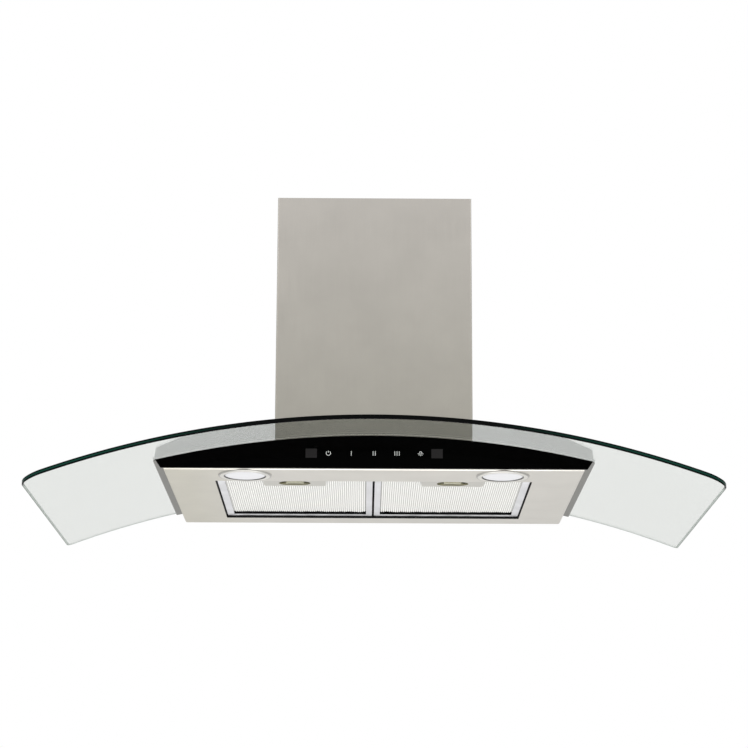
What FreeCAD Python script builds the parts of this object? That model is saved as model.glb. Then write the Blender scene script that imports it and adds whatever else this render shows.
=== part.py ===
import FreeCAD, Part
import os
import re

import Sketcher

# A wall-mounted extractor hood under one sheet of arched glass: a thin steel tray with two
# grease filters and two lamps below the glass, and a double-inlet blower behind a
# telescoping chimney above it.
#
# Working frame of every sketch: X to the right, Y = 0 on the wall and -Y to the front,
# Z = 0 on the underside of the tray. Each finished piece is lowered by mount_height, so the
# origin of the whole hood is the centre of its four wall screws, on the wall.

SIZES = [
    # name, millimetres, what it is
    ("mount_height", 190, "wall screw centre above the underside of the tray"),
    ("wall_gap", 1, "glass, tray and chimney clear of the wall"),
    ("sheet", 1, "steel sheet of tray, cover, blower box and chimney"),
    ("seat_gap", 0.1, "between two curved faces that lie on each other"),
    ("glass_width", 900, ""),
    ("glass_depth", 480, ""),
    ("glass_thick", 6, ""),
    ("glass_radius", 1250, "underside of the arch"),
    ("glass_crown", 47, "underside of the arch above the tray underside, in the middle"),
    ("glass_front_corner", 28, "radius in plan"),
    ("glass_rear_corner", 8, "radius in plan"),
    ("glass_cutout_corner", 10, ""),
    ("glass_cutout_gap", 4, "round the throat duct"),
    ("glass_hole_gap", 1.5, "glass clear of its screws"),
    ("gasket_thick", 1, ""),
    ("gasket_wide", 12, ""),
    ("gasket_inset", 2, "behind the front and rear edge of the tray"),
    ("tray_width", 554, ""),
    ("tray_depth", 385, ""),
    ("tray_fold", 3, "outer radius of the bottom folds"),
    ("flange_wide", 13, "side flanges of the top cover, outside the tray"),
    ("rim_height", 13, "upturned rim round the filter opening, lower in front"),
    ("filter_opening_width", 426, ""),
    ("filter_opening_depth", 271, ""),
    ("filter_opening_rear", 40, "rear edge of the opening from the wall"),
    ("front_room_wall", 317.5, "partition behind the lamps, from the wall"),
    ("front_room_gap", 0.3, "partition clear of the tray sides"),
    ("front_room_foot", 2.4, "turned foot of the partition"),
    ("front_room_foot_half", 46.9, "half width of that foot"),
    ("fascia_thick", 4, ""),
    ("fascia_bottom", 1.5, "lower edge above the tray underside"),
    ("fascia_foot_half", 280, "half width at the lower edge"),
    ("fascia_head_half", 287, "half width at the upper corners"),
    ("fascia_light_gap", 1.5, "between fascia and glass"),
    ("window_x", 82.5, "signal windows from the middle"),
    ("window_z", 21.5, "centre of windows and keys"),
    ("window_width", 15, ""),
    ("window_height", 12.4, ""),
    ("window_deep", 1, ""),
    ("key_pitch", 30, ""),
    ("key_pad_half", 4, "half of the square foam pad behind each key"),
    ("board_width", 190, ""),
    ("board_height", 26, ""),
    ("board_thick", 1.6, ""),
    ("board_standoff", 3, "touch board behind the tray front"),
    ("board_corner", 2, ""),
    ("board_stud_radius", 3, ""),
    ("board_stud_land", 5, "stud from the end of the board"),
    ("key_slot_half", 78, "half width of the slot in the tray front behind the keys"),
    ("lamp_x", 171, ""),
    ("lamp_y", 350, "lamp centre from the wall"),
    ("lamp_flange_radius", 35.5, ""),
    ("lamp_flange_thick", 1.8, ""),
    ("lamp_hole_radius", 30.5, "in the tray"),
    ("lamp_tube_radius", 29.7, ""),
    ("lamp_tube_height", 9, ""),
    ("lamp_wall", 1.4, ""),
    ("lamp_play", 0.1, "lens and lamp body inside the bezel"),
    ("bezel_bevel", 1.2, ""),
    ("lens_radius", 27.3, "visible face of the lens"),
    ("lens_thick", 1.5, "rim of the lens inside the bezel"),
    ("lens_play", 0.2, "visible face of the lens inside the bezel"),
    ("lens_proud", 1.3, "visible face of the lens below its rim"),
    ("lens_bevel", 1.2, ""),
    ("heat_sink_height", 14, ""),
    ("heat_sink_groove", 5, "depth of the groove"),
    ("filter_gap_middle", 2.8, "between the two filters"),
    ("filter_gap_side", 0.6, ""),
    ("filter_gap_rear", 4, "room to tilt"),
    ("filter_recess", 3, "filter face above the tray underside"),
    ("filter_thick", 8.6, ""),
    ("filter_face", 11, "width of the frame face"),
    ("filter_face_inner", 8.6, "width of the frame face in the middle of the hood"),
    ("filter_wall", 0.8, ""),
    ("filter_hem", 1.6, "doubled lower lip of the frame"),
    ("filter_corner", 3, ""),
    ("filter_pack_gap", 3, "mesh and core inside the frame walls"),
    ("mesh_pitch", 2.72, "pleats of the filter mesh"),
    ("mesh_height", 1.8, ""),
    ("mesh_sheet", 0.5, ""),
    ("hook_wide", 20, "rear hooks of a filter"),
    ("hook_thick", 1, ""),
    ("hook_spread", 65, "hooks from the middle of the filter"),
    ("hook_height", 6, "tilt axis above the tray underside"),
    ("hook_reach", 5, "hook behind the rim"),
    ("hook_slot_height", 4, ""),
    ("hook_play", 2, "each side of a hook in its slot"),
    ("latch_plate_width", 84, ""),
    ("latch_plate_depth", 43, ""),
    ("latch_plate_thick", 0.6, ""),
    ("latch_plate_front", 309, "front edge from the wall"),
    ("finger_slot_width", 42, ""),
    ("finger_slot_depth", 24, ""),
    ("finger_slot_land", 1, "slot behind the front wall of the cup"),
    ("latch_plate_corner", 5, ""),
    ("cup_half_width", 34, ""),
    ("cup_front", 299, ""),
    ("cup_rear", 266.5, ""),
    ("cup_wall", 0.8, ""),
    ("cup_corner", 2, ""),
    ("slider_half_width", 24, ""),
    ("slider_depth", 20, ""),
    ("slider_thick", 1.4, ""),
    ("slider_height", 7.4, "underside of the slider above the tray underside"),
    ("bolt_half_width", 12, ""),
    ("bolt_set_back", 0.2, "bolt, drawn back, behind the front of the filter"),
    ("slider_front_gap", 1.2, "slider, pushed out, behind the wall of the cup"),
    ("grip_lift", 0.4, "finger grip above the filter face"),
    ("grip_thick", 2.5, ""),
    ("grip_corner", 1, ""),
    ("spring_thick", 0.6, ""),
    ("spring_height", 3, ""),
    ("latch_travel", 4.5, ""),
    ("latch_play", 0.4, "round the slider and its bolt"),
    ("throat_width", 194, "clear width of the duct through the glass"),
    ("throat_depth", 180, ""),
    ("throat_rear", 35, "clear opening from the wall"),
    ("throat_top", 70, ""),
    ("throat_foot", 38, ""),
    ("throat_flange", 10, ""),
    ("throat_flange_corner", 4, ""),
    ("box_screw_set_back", 30, "screws of the blower box from the ends of the throat"),
    ("box_width", 248, "blower box"),
    ("box_front", 239, "from the wall"),
    ("box_top", 290, ""),
    ("plate_width", 220, "wall plate"),
    ("plate_height", 190, ""),
    ("plate_thick", 3, ""),
    ("plate_corner", 8, ""),
    ("wall_hole_radius", 4, ""),
    ("wall_hole_x", 180, "spacing"),
    ("wall_hole_z", 120, "spacing"),
    ("wall_hole_play", 0.5, "holes of the blower box"),
    ("fan_radius", 85, "impeller"),
    ("fan_width", 90, ""),
    ("blade_count", 32, ""),
    ("blade_chord", 14.6, ""),
    ("blade_curve", 12, "outer radius of the blade arc"),
    ("blade_thick", 1, ""),
    ("blade_lead", 24, "degrees, outer edge ahead of the inner edge"),
    ("blade_tuck", 0.3, "outer edge of the blades beyond the fan radius"),
    ("fan_ring", 1.5, "thickness of the end rings"),
    ("fan_ring_width", 7, ""),
    ("fan_disc", 2, ""),
    ("hub_radius", 12, ""),
    ("hub_reach", 8, "hub each side of the disc"),
    ("nut_height", 6, ""),
    ("shaft_radius", 4, ""),
    ("shaft_play", 0.05, ""),
    ("scroll_clear", 7, "impeller to scroll at the cut-off"),
    ("scroll_step", 10, "growth of the scroll in each quarter turn"),
    ("scroll_half_width", 52, "inside"),
    ("scroll_cut_off", 18, "cut-off edge behind the axis"),
    ("scroll_tip", 5, "radius of the cut-off edge"),
    ("scroll_rear_gap", 2, "scroll clear of the box rear"),
    ("scroll_floor_gap", 4, "scroll clear of the box floor"),
    ("scroll_tab", 12, "screw tabs at the top of the scroll"),
    ("inlet_radius", 80, "inlet hole in the scroll side"),
    ("inlet_lip", 6, "depth and taper of the inlet edge"),
    ("motor_radius", 46, ""),
    ("motor_start", 14, "motor nose from the middle of the impeller"),
    ("motor_length", 62, ""),
    ("motor_nose", 11, "radius of the bearing nose"),
    ("motor_nose_length", 4, ""),
    ("motor_shaft_depth", 12, "shaft bore"),
    ("motor_bevel", 14, "tapered end shields"),
    ("arm_thick", 3, "motor bracket"),
    ("arm_width", 14, ""),
    ("arm_land", 9, "arm beyond the edge of the inlet"),
    ("duct_radius", 75, "outlet spigot"),
    ("duct_wall", 2, ""),
    ("duct_y", 95, "spigot centre from the wall"),
    ("duct_start", 338, "foot of the spigot"),
    ("duct_length", 40, ""),
    ("adapter_flange", 2, ""),
    ("adapter_land", 10, "flange round the scroll outlet"),
    ("adapter_corner", 6, ""),
    ("flap_stop", 2, ""),
    ("flap_stop_half", 6, ""),
    ("flap_height", 12, "damper axle above the foot of the spigot"),
    ("flap_thick", 1.2, ""),
    ("flap_gap", 1.2, "flap to spigot"),
    ("axle_radius", 1.5, ""),
    ("knuckle_radius", 3, ""),
    ("knuckle_width", 12, ""),
    ("knuckle_first", 45, "first knuckle of the front flap from the middle"),
    ("knuckle_second", 31, "second knuckle, other side"),
    ("knuckle_shift", 14, "knuckles of the rear flap beside those of the front flap"),
    ("chimney_width", 273, ""),
    ("chimney_depth", 249, ""),
    ("chimney_top", 420.6, ""),
    ("chimney_fold", 1.6, "outer radius of the folds"),
    ("chimney_return", 10, "rear returns"),
    ("chimney_foot_gap", 0.5, "lower edge above the glass"),
    ("chimney_play", 0.5, "between the two chimney covers"),
    ("upper_foot", 98, "lower edge of the inner cover"),
    ("upper_set_down", 0.6, "inner cover below the edge of the outer one, pushed down"),
    ("upper_return", 9, "rear returns of the inner cover"),
    ("clip_set_back", 34, "chimney screws from the wall"),
    ("clip_height", 13, "chimney screws above the throat flange"),
    ("clip_half", 10, "tab for a chimney screw"),
    ("clip_foot", 14, "part of the tab on the blower box"),
    ("vent_count", 6, "slots in each side of the inner cover"),
    ("vent_pitch", 10, ""),
    ("vent_height", 4, ""),
    ("vent_length", 90, ""),
    ("vent_top", 40, "first vent below the upper edge"),
    ("bracket_height", 20, "ceiling bracket"),
    ("bracket_thick", 1.5, ""),
    ("bracket_top", 4, "bracket below the upper edge"),
    ("bracket_step", 12, "arms in front of the wall strap"),
    ("bracket_arm", 33, ""),
    ("bracket_play", 0.2, ""),
    ("bracket_hole_radius", 3, ""),
    ("bracket_hole_x", 160, "spacing"),
    ("junction_width", 40, ""),
    ("junction_depth", 60, ""),
    ("junction_height", 28, ""),
    ("junction_wall", 2, ""),
    ("junction_corner", 3, ""),
    ("junction_side", 6, "junction box from the side of the blower box"),
    ("junction_front", 7, "junction box from the front of the blower box"),
    ("terminal_width", 18, ""),
    ("terminal_length", 30, ""),
    ("terminal_height", 12, ""),
    ("terminal_land", 8, "terminal block from the front of its box"),
    ("terminal_pitch", 10, ""),
    ("terminal_well", 2.6, "radius of a screw well"),
    ("grommet_wall", 2, ""),
    ("grommet_lip", 3, ""),
    ("cable_radius", 4, "bore of the cable grommet"),
    ("control_width", 150, ""),
    ("control_depth", 46, ""),
    ("control_height", 24, ""),
    ("control_corner", 4, ""),
    ("control_gap", 3, "control box in front of the partition"),
    ("capacitor_radius", 14, ""),
    ("capacitor_height", 55, ""),
    ("capacitor_stud", 5, "radius of the end stud"),
    ("capacitor_stud_height", 3, ""),
    ("capacitor_side", 30, "capacitor from the side of the blower box"),
    ("capacitor_lift", 100, "capacitor above the floor of the blower box"),
    ("clip_band_lift", 18, "band above the foot of the capacitor"),
    ("clip_band", 15, "height of the band"),
    ("clip_ear", 8, ""),
    ("clip_thick", 1.2, ""),
    ("screw_radius", 2.5, ""),
    ("screw_head_radius", 4.6, ""),
    ("screw_head_height", 2.8, ""),
    ("screw_play", 0.3, ""),
    ("washer_radius", 8, ""),
    ("washer_thick", 2, "in the middle"),
    ("washer_foot", 3, "depth of the washer blank below its seat"),
    ("glass_screw_length", 20, ""),
    ("box_screw_length", 7, ""),
    ("chimney_screw_length", 8, ""),
    ("glass_screw_x", 70, ""),
    ("glass_screw_land", 14, "glass screws from the edge of the throat"),
]
NAMES = re.compile(r"\b(" + "|".join(name for name, _, _ in SIZES) + r")\b")

# Heights and edges that several pieces share, written with the names above.
ARCH_CENTRE = "(glass_crown - glass_radius)"
COVER_RADIUS = "(glass_radius - gasket_thick - 2 * seat_gap)"
TRAY_RADIUS = f"({COVER_RADIUS} - sheet - seat_gap)"
TRAY_FRONT = "(-wall_gap - tray_depth)"
OPENING_REAR = "(-filter_opening_rear)"
OPENING_FRONT = "(-filter_opening_rear - filter_opening_depth)"
THROAT_REAR = "(-throat_rear)"
THROAT_FRONT = "(-throat_rear - throat_depth)"
BOX_REAR = "(-plate_thick)"
FAN_Y = (
    "(-plate_thick - 2 * sheet - scroll_rear_gap"
    " - fan_radius - scroll_clear - 3 * scroll_step)"
)
SCROLL_START = "(fan_radius + scroll_clear + scroll_step / 2)"
SCROLL_REAR = "(fan_radius + scroll_clear + 3 * scroll_step)"
FAN_Z = f"(throat_top + 2 * sheet + scroll_floor_gap + {SCROLL_START} + 1.5 * scroll_step)"
FILTER_WIDTH = "(filter_opening_width / 2 - filter_gap_side - filter_gap_middle / 2)"
FILTER_X = f"(filter_gap_middle / 2 + {FILTER_WIDTH} / 2)"
FILTER_REAR = f"({OPENING_REAR} - filter_gap_rear)"
FILTER_FRONT = f"({OPENING_FRONT} + filter_gap_side)"
FILTER_TOP = "(filter_recess + filter_thick)"
MESH_FLOOR = "(filter_recess + filter_hem + seat_gap)"
SLIDER_FRONT = "(-cup_front + cup_wall + slider_front_gap + latch_travel)"
UPPER_HALF = "(chimney_width / 2 - sheet - chimney_play)"
UPPER_FRONT = "(-wall_gap - chimney_depth + sheet + chimney_play)"
FLAP_Z = "(duct_start + flap_height)"
CLIP_Y = "(-clip_set_back)"
CLIP_Z = "(throat_top + clip_height)"

DOC = FreeCAD.newDocument("range_hood")
DIMS = DOC.addObject("Spreadsheet::Sheet", "Dims")
PUBLISHED = []


def fill_sheet():
    for row, (name, number, note) in enumerate(SIZES, start=1):
        DIMS.set(f"A{row}", name)
        DIMS.set(f"B{row}", str(number))
        DIMS.set(f"C{row}", note)
        DIMS.setAlias(f"B{row}", name)
    DOC.recompute()


def tie(text):
    """Expression for a property, with each size read from the sheet."""
    return NAMES.sub(r"Dims.\1", text)


def value(text):
    """Number of an expression at the present sizes."""
    return float(DIMS.evalExpression(text))


def arch(radius, x):
    """Height of the arch of this radius at x."""
    return f"({ARCH_CENTRE} + sqrt(({radius})^2 - ({x})^2))"


# ---------------------------------------------------------------- sketches and features


def new_body(name):
    return DOC.addObject("PartDesign::Body", name)


def origin_item(body, role):
    return next(item for item in body.Origin.OriginFeatures if item.Role == role)


def new_sketch(body, plane, offset="0"):
    sketch = body.newObject("Sketcher::SketchObject", body.Name + "_sketch")
    sketch.AttachmentSupport = [(origin_item(body, plane), "")]
    sketch.MapMode = "FlatFace"
    sketch.setExpression("AttachmentOffset.Base.z", tie(offset))
    return sketch


def hold_point(sketch, limits, ties, geometry, place, x, y):
    """Hold a point of the sketch at two expressions."""
    for axis, text in (("DistanceX", x), ("DistanceY", y)):
        ties.append((len(limits), text))
        limits.append(Sketcher.Constraint(axis, geometry, place, value(text)))


def apply(sketch, limits, ties):
    first = sketch.ConstraintCount
    sketch.addConstraint(limits)
    for index, text in ties:
        if NAMES.search(text):
            sketch.setExpression(f"Constraints[{first + index}]", tie(text))


def outline(sketch, corners):
    """A closed loop. A corner is (x, y), or (x, y, radius, turn) when the edge that leaves it
    is an arc that turns left (1) or right (-1)."""
    limits = []
    ties = []
    points = [FreeCAD.Vector(value(c[0]), value(c[1]), 0) for c in corners]
    ends = []
    for index, corner in enumerate(corners):
        start = points[index]
        end = points[(index + 1) % len(points)]
        if len(corner) == 2:
            edge = Part.LineSegment(start, end)
        else:
            radius = value(corner[2])
            chord = end - start
            rise = radius - max(radius**2 - (chord.Length / 2) ** 2, 0) ** 0.5
            side = FreeCAD.Vector(chord.y, -chord.x, 0).normalize()
            edge = Part.Arc(start, (start + end) / 2 + side * rise * corner[3], end)
        geometry = sketch.addGeometry(edge, False)
        near = 1 if (sketch.getPoint(geometry, 1) - start).Length < 1e-6 else 2
        ends.append((geometry, near, 3 - near))
        hold_point(sketch, limits, ties, geometry, near, corner[0], corner[1])
        if len(corner) == 4:
            ties.append((len(limits), corner[2]))
            limits.append(Sketcher.Constraint("Radius", geometry, radius))
    for index, (geometry, near, _) in enumerate(ends):
        before, _, far = ends[index - 1]
        limits.append(Sketcher.Constraint("Coincident", before, far, geometry, near))
    apply(sketch, limits, ties)


def rectangle(sketch, left, right, low, high, radius=None):
    """Rectangle by its four edges, with round corners where a radius is given."""
    if radius is None:
        outline(sketch, [(left, low), (right, low), (right, high), (left, high)])
        return
    outline(
        sketch,
        [
            (f"{left} + {radius}", low),
            (f"{right} - {radius}", low, radius, 1),
            (right, f"{low} + {radius}"),
            (right, f"{high} - {radius}", radius, 1),
            (f"{right} - {radius}", high),
            (f"{left} + {radius}", high, radius, 1),
            (left, f"{high} - {radius}"),
            (left, f"{low} + {radius}", radius, 1),
        ],
    )


def circle(sketch, x, y, radius):
    limits = []
    ties = []
    centre = FreeCAD.Vector(value(x), value(y), 0)
    shape = Part.Circle(centre, FreeCAD.Vector(0, 0, 1), value(radius))
    geometry = sketch.addGeometry(shape, False)
    hold_point(sketch, limits, ties, geometry, 3, x, y)
    ties.append((len(limits), radius))
    limits.append(Sketcher.Constraint("Radius", geometry, value(radius)))
    apply(sketch, limits, ties)


def hexagon(sketch, x, y, across):
    """Hexagon by the radius of its corners."""
    corners = []
    for step in range(6):
        corners.append(
            (f"{x} + {across} * cos({60 * step})", f"{y} + {across} * sin({60 * step})")
        )
    outline(sketch, corners)


def stadium(sketch, x, y, width, depth):
    """Slot with half-round ends, long in x."""
    half = f"(({width}) - ({depth})) / 2"
    radius = value(f"({depth}) / 2")
    centre_x = value(x)
    centre_y = value(y)
    reach = value(half)
    vector = FreeCAD.Vector
    left = sketch.addGeometry(
        Part.Arc(
            vector(centre_x - reach, centre_y + radius, 0),
            vector(centre_x - reach - radius, centre_y, 0),
            vector(centre_x - reach, centre_y - radius, 0),
        ),
        False,
    )
    low = sketch.addGeometry(
        Part.LineSegment(
            vector(centre_x - reach, centre_y - radius, 0),
            vector(centre_x + reach, centre_y - radius, 0),
        ),
        False,
    )
    right = sketch.addGeometry(
        Part.Arc(
            vector(centre_x + reach, centre_y - radius, 0),
            vector(centre_x + reach + radius, centre_y, 0),
            vector(centre_x + reach, centre_y + radius, 0),
        ),
        False,
    )
    high = sketch.addGeometry(
        Part.LineSegment(
            vector(centre_x + reach, centre_y + radius, 0),
            vector(centre_x - reach, centre_y + radius, 0),
        ),
        False,
    )
    limits = []
    ties = []
    hold_point(sketch, limits, ties, left, 3, f"({x}) - {half}", y)
    hold_point(sketch, limits, ties, right, 3, f"({x}) + {half}", y)
    ties.append((len(limits), f"({depth}) / 2"))
    limits.append(Sketcher.Constraint("Radius", left, radius))
    for line, start_arc, end_arc in ((low, left, right), (high, right, left)):
        limits.append(Sketcher.Constraint("Tangent", start_arc, 2, line, 1))
        limits.append(Sketcher.Constraint("Tangent", line, 2, end_arc, 1))
    apply(sketch, limits, ties)


def pad(body, sketch, length, reverse=False, symmetric=False):
    feature = body.newObject("PartDesign::Pad", body.Name + "_pad")
    feature.Profile = sketch
    feature.Reversed = reverse
    feature.SideType = "Symmetric" if symmetric else "One side"
    feature.setExpression("Length", tie(length))
    return feature


def pocket(body, sketch, length, forward=True, symmetric=False):
    """Cut along the sketch normal (forward) or against it; the cut has to take metal away."""
    DOC.recompute()
    before = body.Shape.Volume
    feature = body.newObject("PartDesign::Pocket", body.Name + "_pocket")
    feature.Profile = sketch
    feature.Reversed = forward
    feature.SideType = "Symmetric" if symmetric else "One side"
    feature.setExpression("Length", tie(length))
    DOC.recompute()
    if body.Shape.Volume > before - 1e-6:
        raise RuntimeError(f"{feature.Name} cuts nothing")
    return feature


def revolve(body, sketch, axis):
    feature = body.newObject("PartDesign::Revolution", body.Name + "_turned")
    feature.Profile = sketch
    feature.ReferenceAxis = (origin_item(body, axis), [""])
    feature.Angle = 360
    return feature


def repeat_round(body, feature, axis, count):
    pattern = body.newObject("PartDesign::PolarPattern", body.Name + "_round")
    pattern.Originals = [feature]
    pattern.Axis = (origin_item(body, axis), [""])
    pattern.Angle = 360
    pattern.setExpression("Occurrences", tie(count))
    body.Tip = pattern
    return pattern


def mirror(body, features, plane):
    copy = body.newObject("PartDesign::Mirrored", body.Name + "_mirrored")
    copy.Originals = features
    copy.MirrorPlane = (origin_item(body, plane), [""])
    body.Tip = copy
    return copy


def round_edges(body, radius, test):
    """Fillet the straight or curved edges whose middle passes the test."""
    DOC.recompute()
    feature = body.Tip
    names = []
    for index, edge in enumerate(feature.Shape.Edges, start=1):
        first, last = edge.ParameterRange
        if test(edge.valueAt((first + last) / 2), edge):
            names.append(f"Edge{index}")
    if not names:
        raise RuntimeError(f"{body.Name}: no edge to round")
    fillet = body.newObject("PartDesign::Fillet", body.Name + "_fillet")
    fillet.Base = (feature, names)
    fillet.setExpression("Radius", tie(radius))
    return fillet


def hollow(body, wall, test):
    """Shell the body to a wall inside its faces, open at the faces that pass the test."""
    DOC.recompute()
    feature = body.Tip
    names = []
    for index, face in enumerate(feature.Shape.Faces, start=1):
        if test(face.CenterOfMass):
            names.append(f"Face{index}")
    shell = body.newObject("PartDesign::Thickness", body.Name + "_shell")
    shell.Base = (feature, names)
    shell.Reversed = True
    shell.Join = 0
    shell.setExpression("Value", tie(wall))
    return shell


def publish(piece, x="0", y="0", z="0"):
    """Name the piece after its object and set it in the frame of the hood."""
    piece.Label = piece.Name
    for axis, text in (("x", x), ("y", y), ("z", f"({z}) - mount_height")):
        piece.setExpression(f"Placement.Base.{axis}", tie(text))
    PUBLISHED.append(piece)


def cut_to_arch(body, half_width, lower_radius, upper_radius, depth):
    """Leave of a plan-shaped block only the sheet between two arches."""
    wide = f"({half_width} + 5)"
    low = f"({arch(lower_radius, half_width)} - 30)"
    high = f"({arch(upper_radius, '0')} + 30)"
    sketch = new_sketch(body, "XZ_Plane")
    outline(
        sketch,
        [
            (f"-{wide}", low),
            (wide, low),
            (wide, arch(lower_radius, wide), lower_radius, 1),
            (f"-{wide}", arch(lower_radius, wide)),
        ],
    )
    outline(
        sketch,
        [
            (f"-{wide}", high),
            (f"-{wide}", arch(upper_radius, wide), upper_radius, -1),
            (wide, arch(upper_radius, wide)),
            (wide, high),
        ],
    )
    pocket(body, sketch, depth)


def arched_block(body, half_width, radius):
    """Sketch corners of a profile with a flat foot and an arched head."""
    head = arch(radius, half_width)
    return [
        (f"-{half_width}", "0"),
        (half_width, "0"),
        (half_width, head, radius, 1),
        (f"-{half_width}", head),
    ]


# ---------------------------------------------------------------- glass and tray


def glass_screw_places():
    """Screws through the glass, in front of the throat and behind it."""
    rear = f"({THROAT_REAR} + glass_screw_land)"
    front = f"({THROAT_FRONT} - glass_screw_land)"
    return [(side + "glass_screw_x", y) for side in ("-", "") for y in (rear, front)]


def make_glass_canopy():
    body = new_body("glass_canopy")
    half = "(glass_width / 2)"
    low = f"({arch('glass_radius', half)} - 2)"
    plan = new_sketch(body, "XY_Plane", low)
    front = "(-wall_gap - glass_depth)"
    rear = "(-wall_gap)"
    outline(
        plan,
        [
            (f"-{half} + glass_front_corner", front),
            (f"{half} - glass_front_corner", front, "glass_front_corner", 1),
            (half, f"{front} + glass_front_corner"),
            (half, f"{rear} - glass_rear_corner", "glass_rear_corner", 1),
            (f"{half} - glass_rear_corner", rear),
            (f"-{half} + glass_rear_corner", rear, "glass_rear_corner", 1),
            (f"-{half}", f"{rear} - glass_rear_corner"),
            (f"-{half}", f"{front} + glass_front_corner", "glass_front_corner", 1),
        ],
    )
    pad(body, plan, f"glass_crown + glass_thick + 2 - {low}")
    cut_to_arch(
        body, half, "glass_radius", "glass_radius + glass_thick", "glass_depth + 2 * wall_gap"
    )
    holes = new_sketch(body, "XY_Plane")
    margin = "(sheet + glass_cutout_gap)"
    rectangle(
        holes,
        f"-throat_width / 2 - {margin}",
        f"throat_width / 2 + {margin}",
        f"{THROAT_FRONT} - {margin}",
        f"{THROAT_REAR} + {margin}",
        "glass_cutout_corner",
    )
    for x, y in glass_screw_places():
        circle(holes, x, y, "screw_radius + glass_hole_gap")
    pocket(body, holes, "glass_crown + glass_thick + 2")
    publish(body)


def make_glass_gasket():
    body = new_body("glass_gasket")
    half = "(tray_width / 2 + gasket_wide)"
    plan = new_sketch(body, "XY_Plane")
    front = f"({TRAY_FRONT} + gasket_inset)"
    rear = "(-wall_gap - gasket_inset)"
    rectangle(plan, f"-{half}", half, front, rear)
    rectangle(
        plan,
        "-tray_width / 2",
        "tray_width / 2",
        f"{front} + gasket_wide",
        f"{rear} - gasket_wide",
    )
    pad(body, plan, "glass_crown")
    top = "(glass_radius - seat_gap)"
    cut_to_arch(body, half, f"({top} - gasket_thick)", top, "tray_depth + wall_gap")
    publish(body)


def make_body_top_cover():
    body = new_body("body_top_cover")
    half = "(tray_width / 2 + flange_wide)"
    plan = new_sketch(body, "XY_Plane")
    rectangle(plan, f"-{half}", half, TRAY_FRONT, "-wall_gap")
    rectangle(
        plan,
        "-throat_width / 2 - sheet",
        "throat_width / 2 + sheet",
        f"{THROAT_FRONT} - sheet",
        f"{THROAT_REAR} + sheet",
    )
    for x, y in glass_screw_places():
        circle(plan, x, y, "screw_radius + screw_play")
    pad(body, plan, "glass_crown")
    depth = "tray_depth + 2 * wall_gap"
    cut_to_arch(body, half, f"({COVER_RADIUS} - sheet)", COVER_RADIUS, depth)
    publish(body)


def make_body_tray():
    body = new_body("body_tray")
    profile = new_sketch(body, "XZ_Plane", "wall_gap")
    outline(profile, arched_block(body, "(tray_width / 2)", TRAY_RADIUS))
    pad(body, profile, "tray_depth")
    rear = value("-2 * wall_gap")
    round_edges(body, "tray_fold", lambda middle, edge: middle.z < 1e-3 and middle.y < rear)
    half_way = value("0.7 * glass_crown")
    hollow(body, "sheet", lambda middle: middle.z > half_way)
    rim = new_sketch(body, "XY_Plane")
    left = "-filter_opening_width / 2"
    right = "filter_opening_width / 2"
    rectangle(
        rim,
        f"{left} - sheet",
        f"{right} + sheet",
        f"{OPENING_FRONT} - sheet",
        f"{OPENING_REAR} + sheet",
    )
    pad(body, rim, "rim_height")
    opening = new_sketch(body, "XY_Plane")
    rectangle(opening, left, right, OPENING_FRONT, OPENING_REAR)
    for side in ("-", ""):
        circle(opening, side + "lamp_x", "-lamp_y", "lamp_hole_radius")
    pocket(body, opening, "rim_height")
    slots = new_sketch(body, "XZ_Plane", "filter_opening_rear - 3 * sheet")
    for side in ("-", ""):
        for hook in ("-", "+"):
            middle = f"({side}{FILTER_X} {hook} hook_spread)"
            rectangle(
                slots,
                f"{middle} - hook_wide / 2 - hook_play",
                f"{middle} + hook_wide / 2 + hook_play",
                "hook_height - hook_slot_height / 2",
                "hook_height + hook_slot_height / 2",
            )
    pocket(body, slots, "5 * sheet")
    bolts = new_sketch(body, "XZ_Plane", f"-{OPENING_FRONT} - 2 * sheet")
    rectangle(bolts, left, right, "slider_height - 2 * latch_play", "rim_height + sheet")
    pocket(body, bolts, "5 * sheet")
    keys = new_sketch(body, "XZ_Plane", f"-{TRAY_FRONT} - 2 * sheet")
    rectangle(
        keys,
        "-key_slot_half",
        "key_slot_half",
        "window_z - window_height / 2",
        "window_z + window_height / 2",
    )
    pocket(body, keys, "4 * sheet")
    publish(body)


def make_throat_duct():
    body = new_body("throat_duct")
    plan = new_sketch(body, "XY_Plane", "throat_foot")
    half = "throat_width / 2"
    rectangle(
        plan,
        f"-{half} - sheet",
        f"{half} + sheet",
        f"{THROAT_FRONT} - sheet",
        f"{THROAT_REAR} + sheet",
    )
    pad(body, plan, "throat_top - throat_foot")
    flange = new_sketch(body, "XY_Plane", "throat_top - sheet")
    rectangle(
        flange,
        f"-{half} - throat_flange",
        f"{half} + throat_flange",
        f"{THROAT_FRONT} - throat_flange",
        f"{THROAT_REAR} + throat_flange",
        "throat_flange_corner",
    )
    pad(body, flange, "sheet")
    bore = new_sketch(body, "XY_Plane", "throat_foot")
    rectangle(bore, f"-{half}", half, THROAT_FRONT, THROAT_REAR)
    for x, y in box_screw_places():
        circle(bore, x, y, "screw_radius + screw_play")
    pocket(body, bore, "throat_top - throat_foot")
    publish(body)


def box_screw_places():
    """Screws between the throat flange and the floor of the blower box."""
    x = "(throat_width / 2 + throat_flange / 2 + sheet / 2)"
    return [
        (side + x, y)
        for side in ("-", "")
        for y in (f"({THROAT_REAR} - box_screw_set_back)", f"({THROAT_FRONT} + box_screw_set_back)")
    ]


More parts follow.
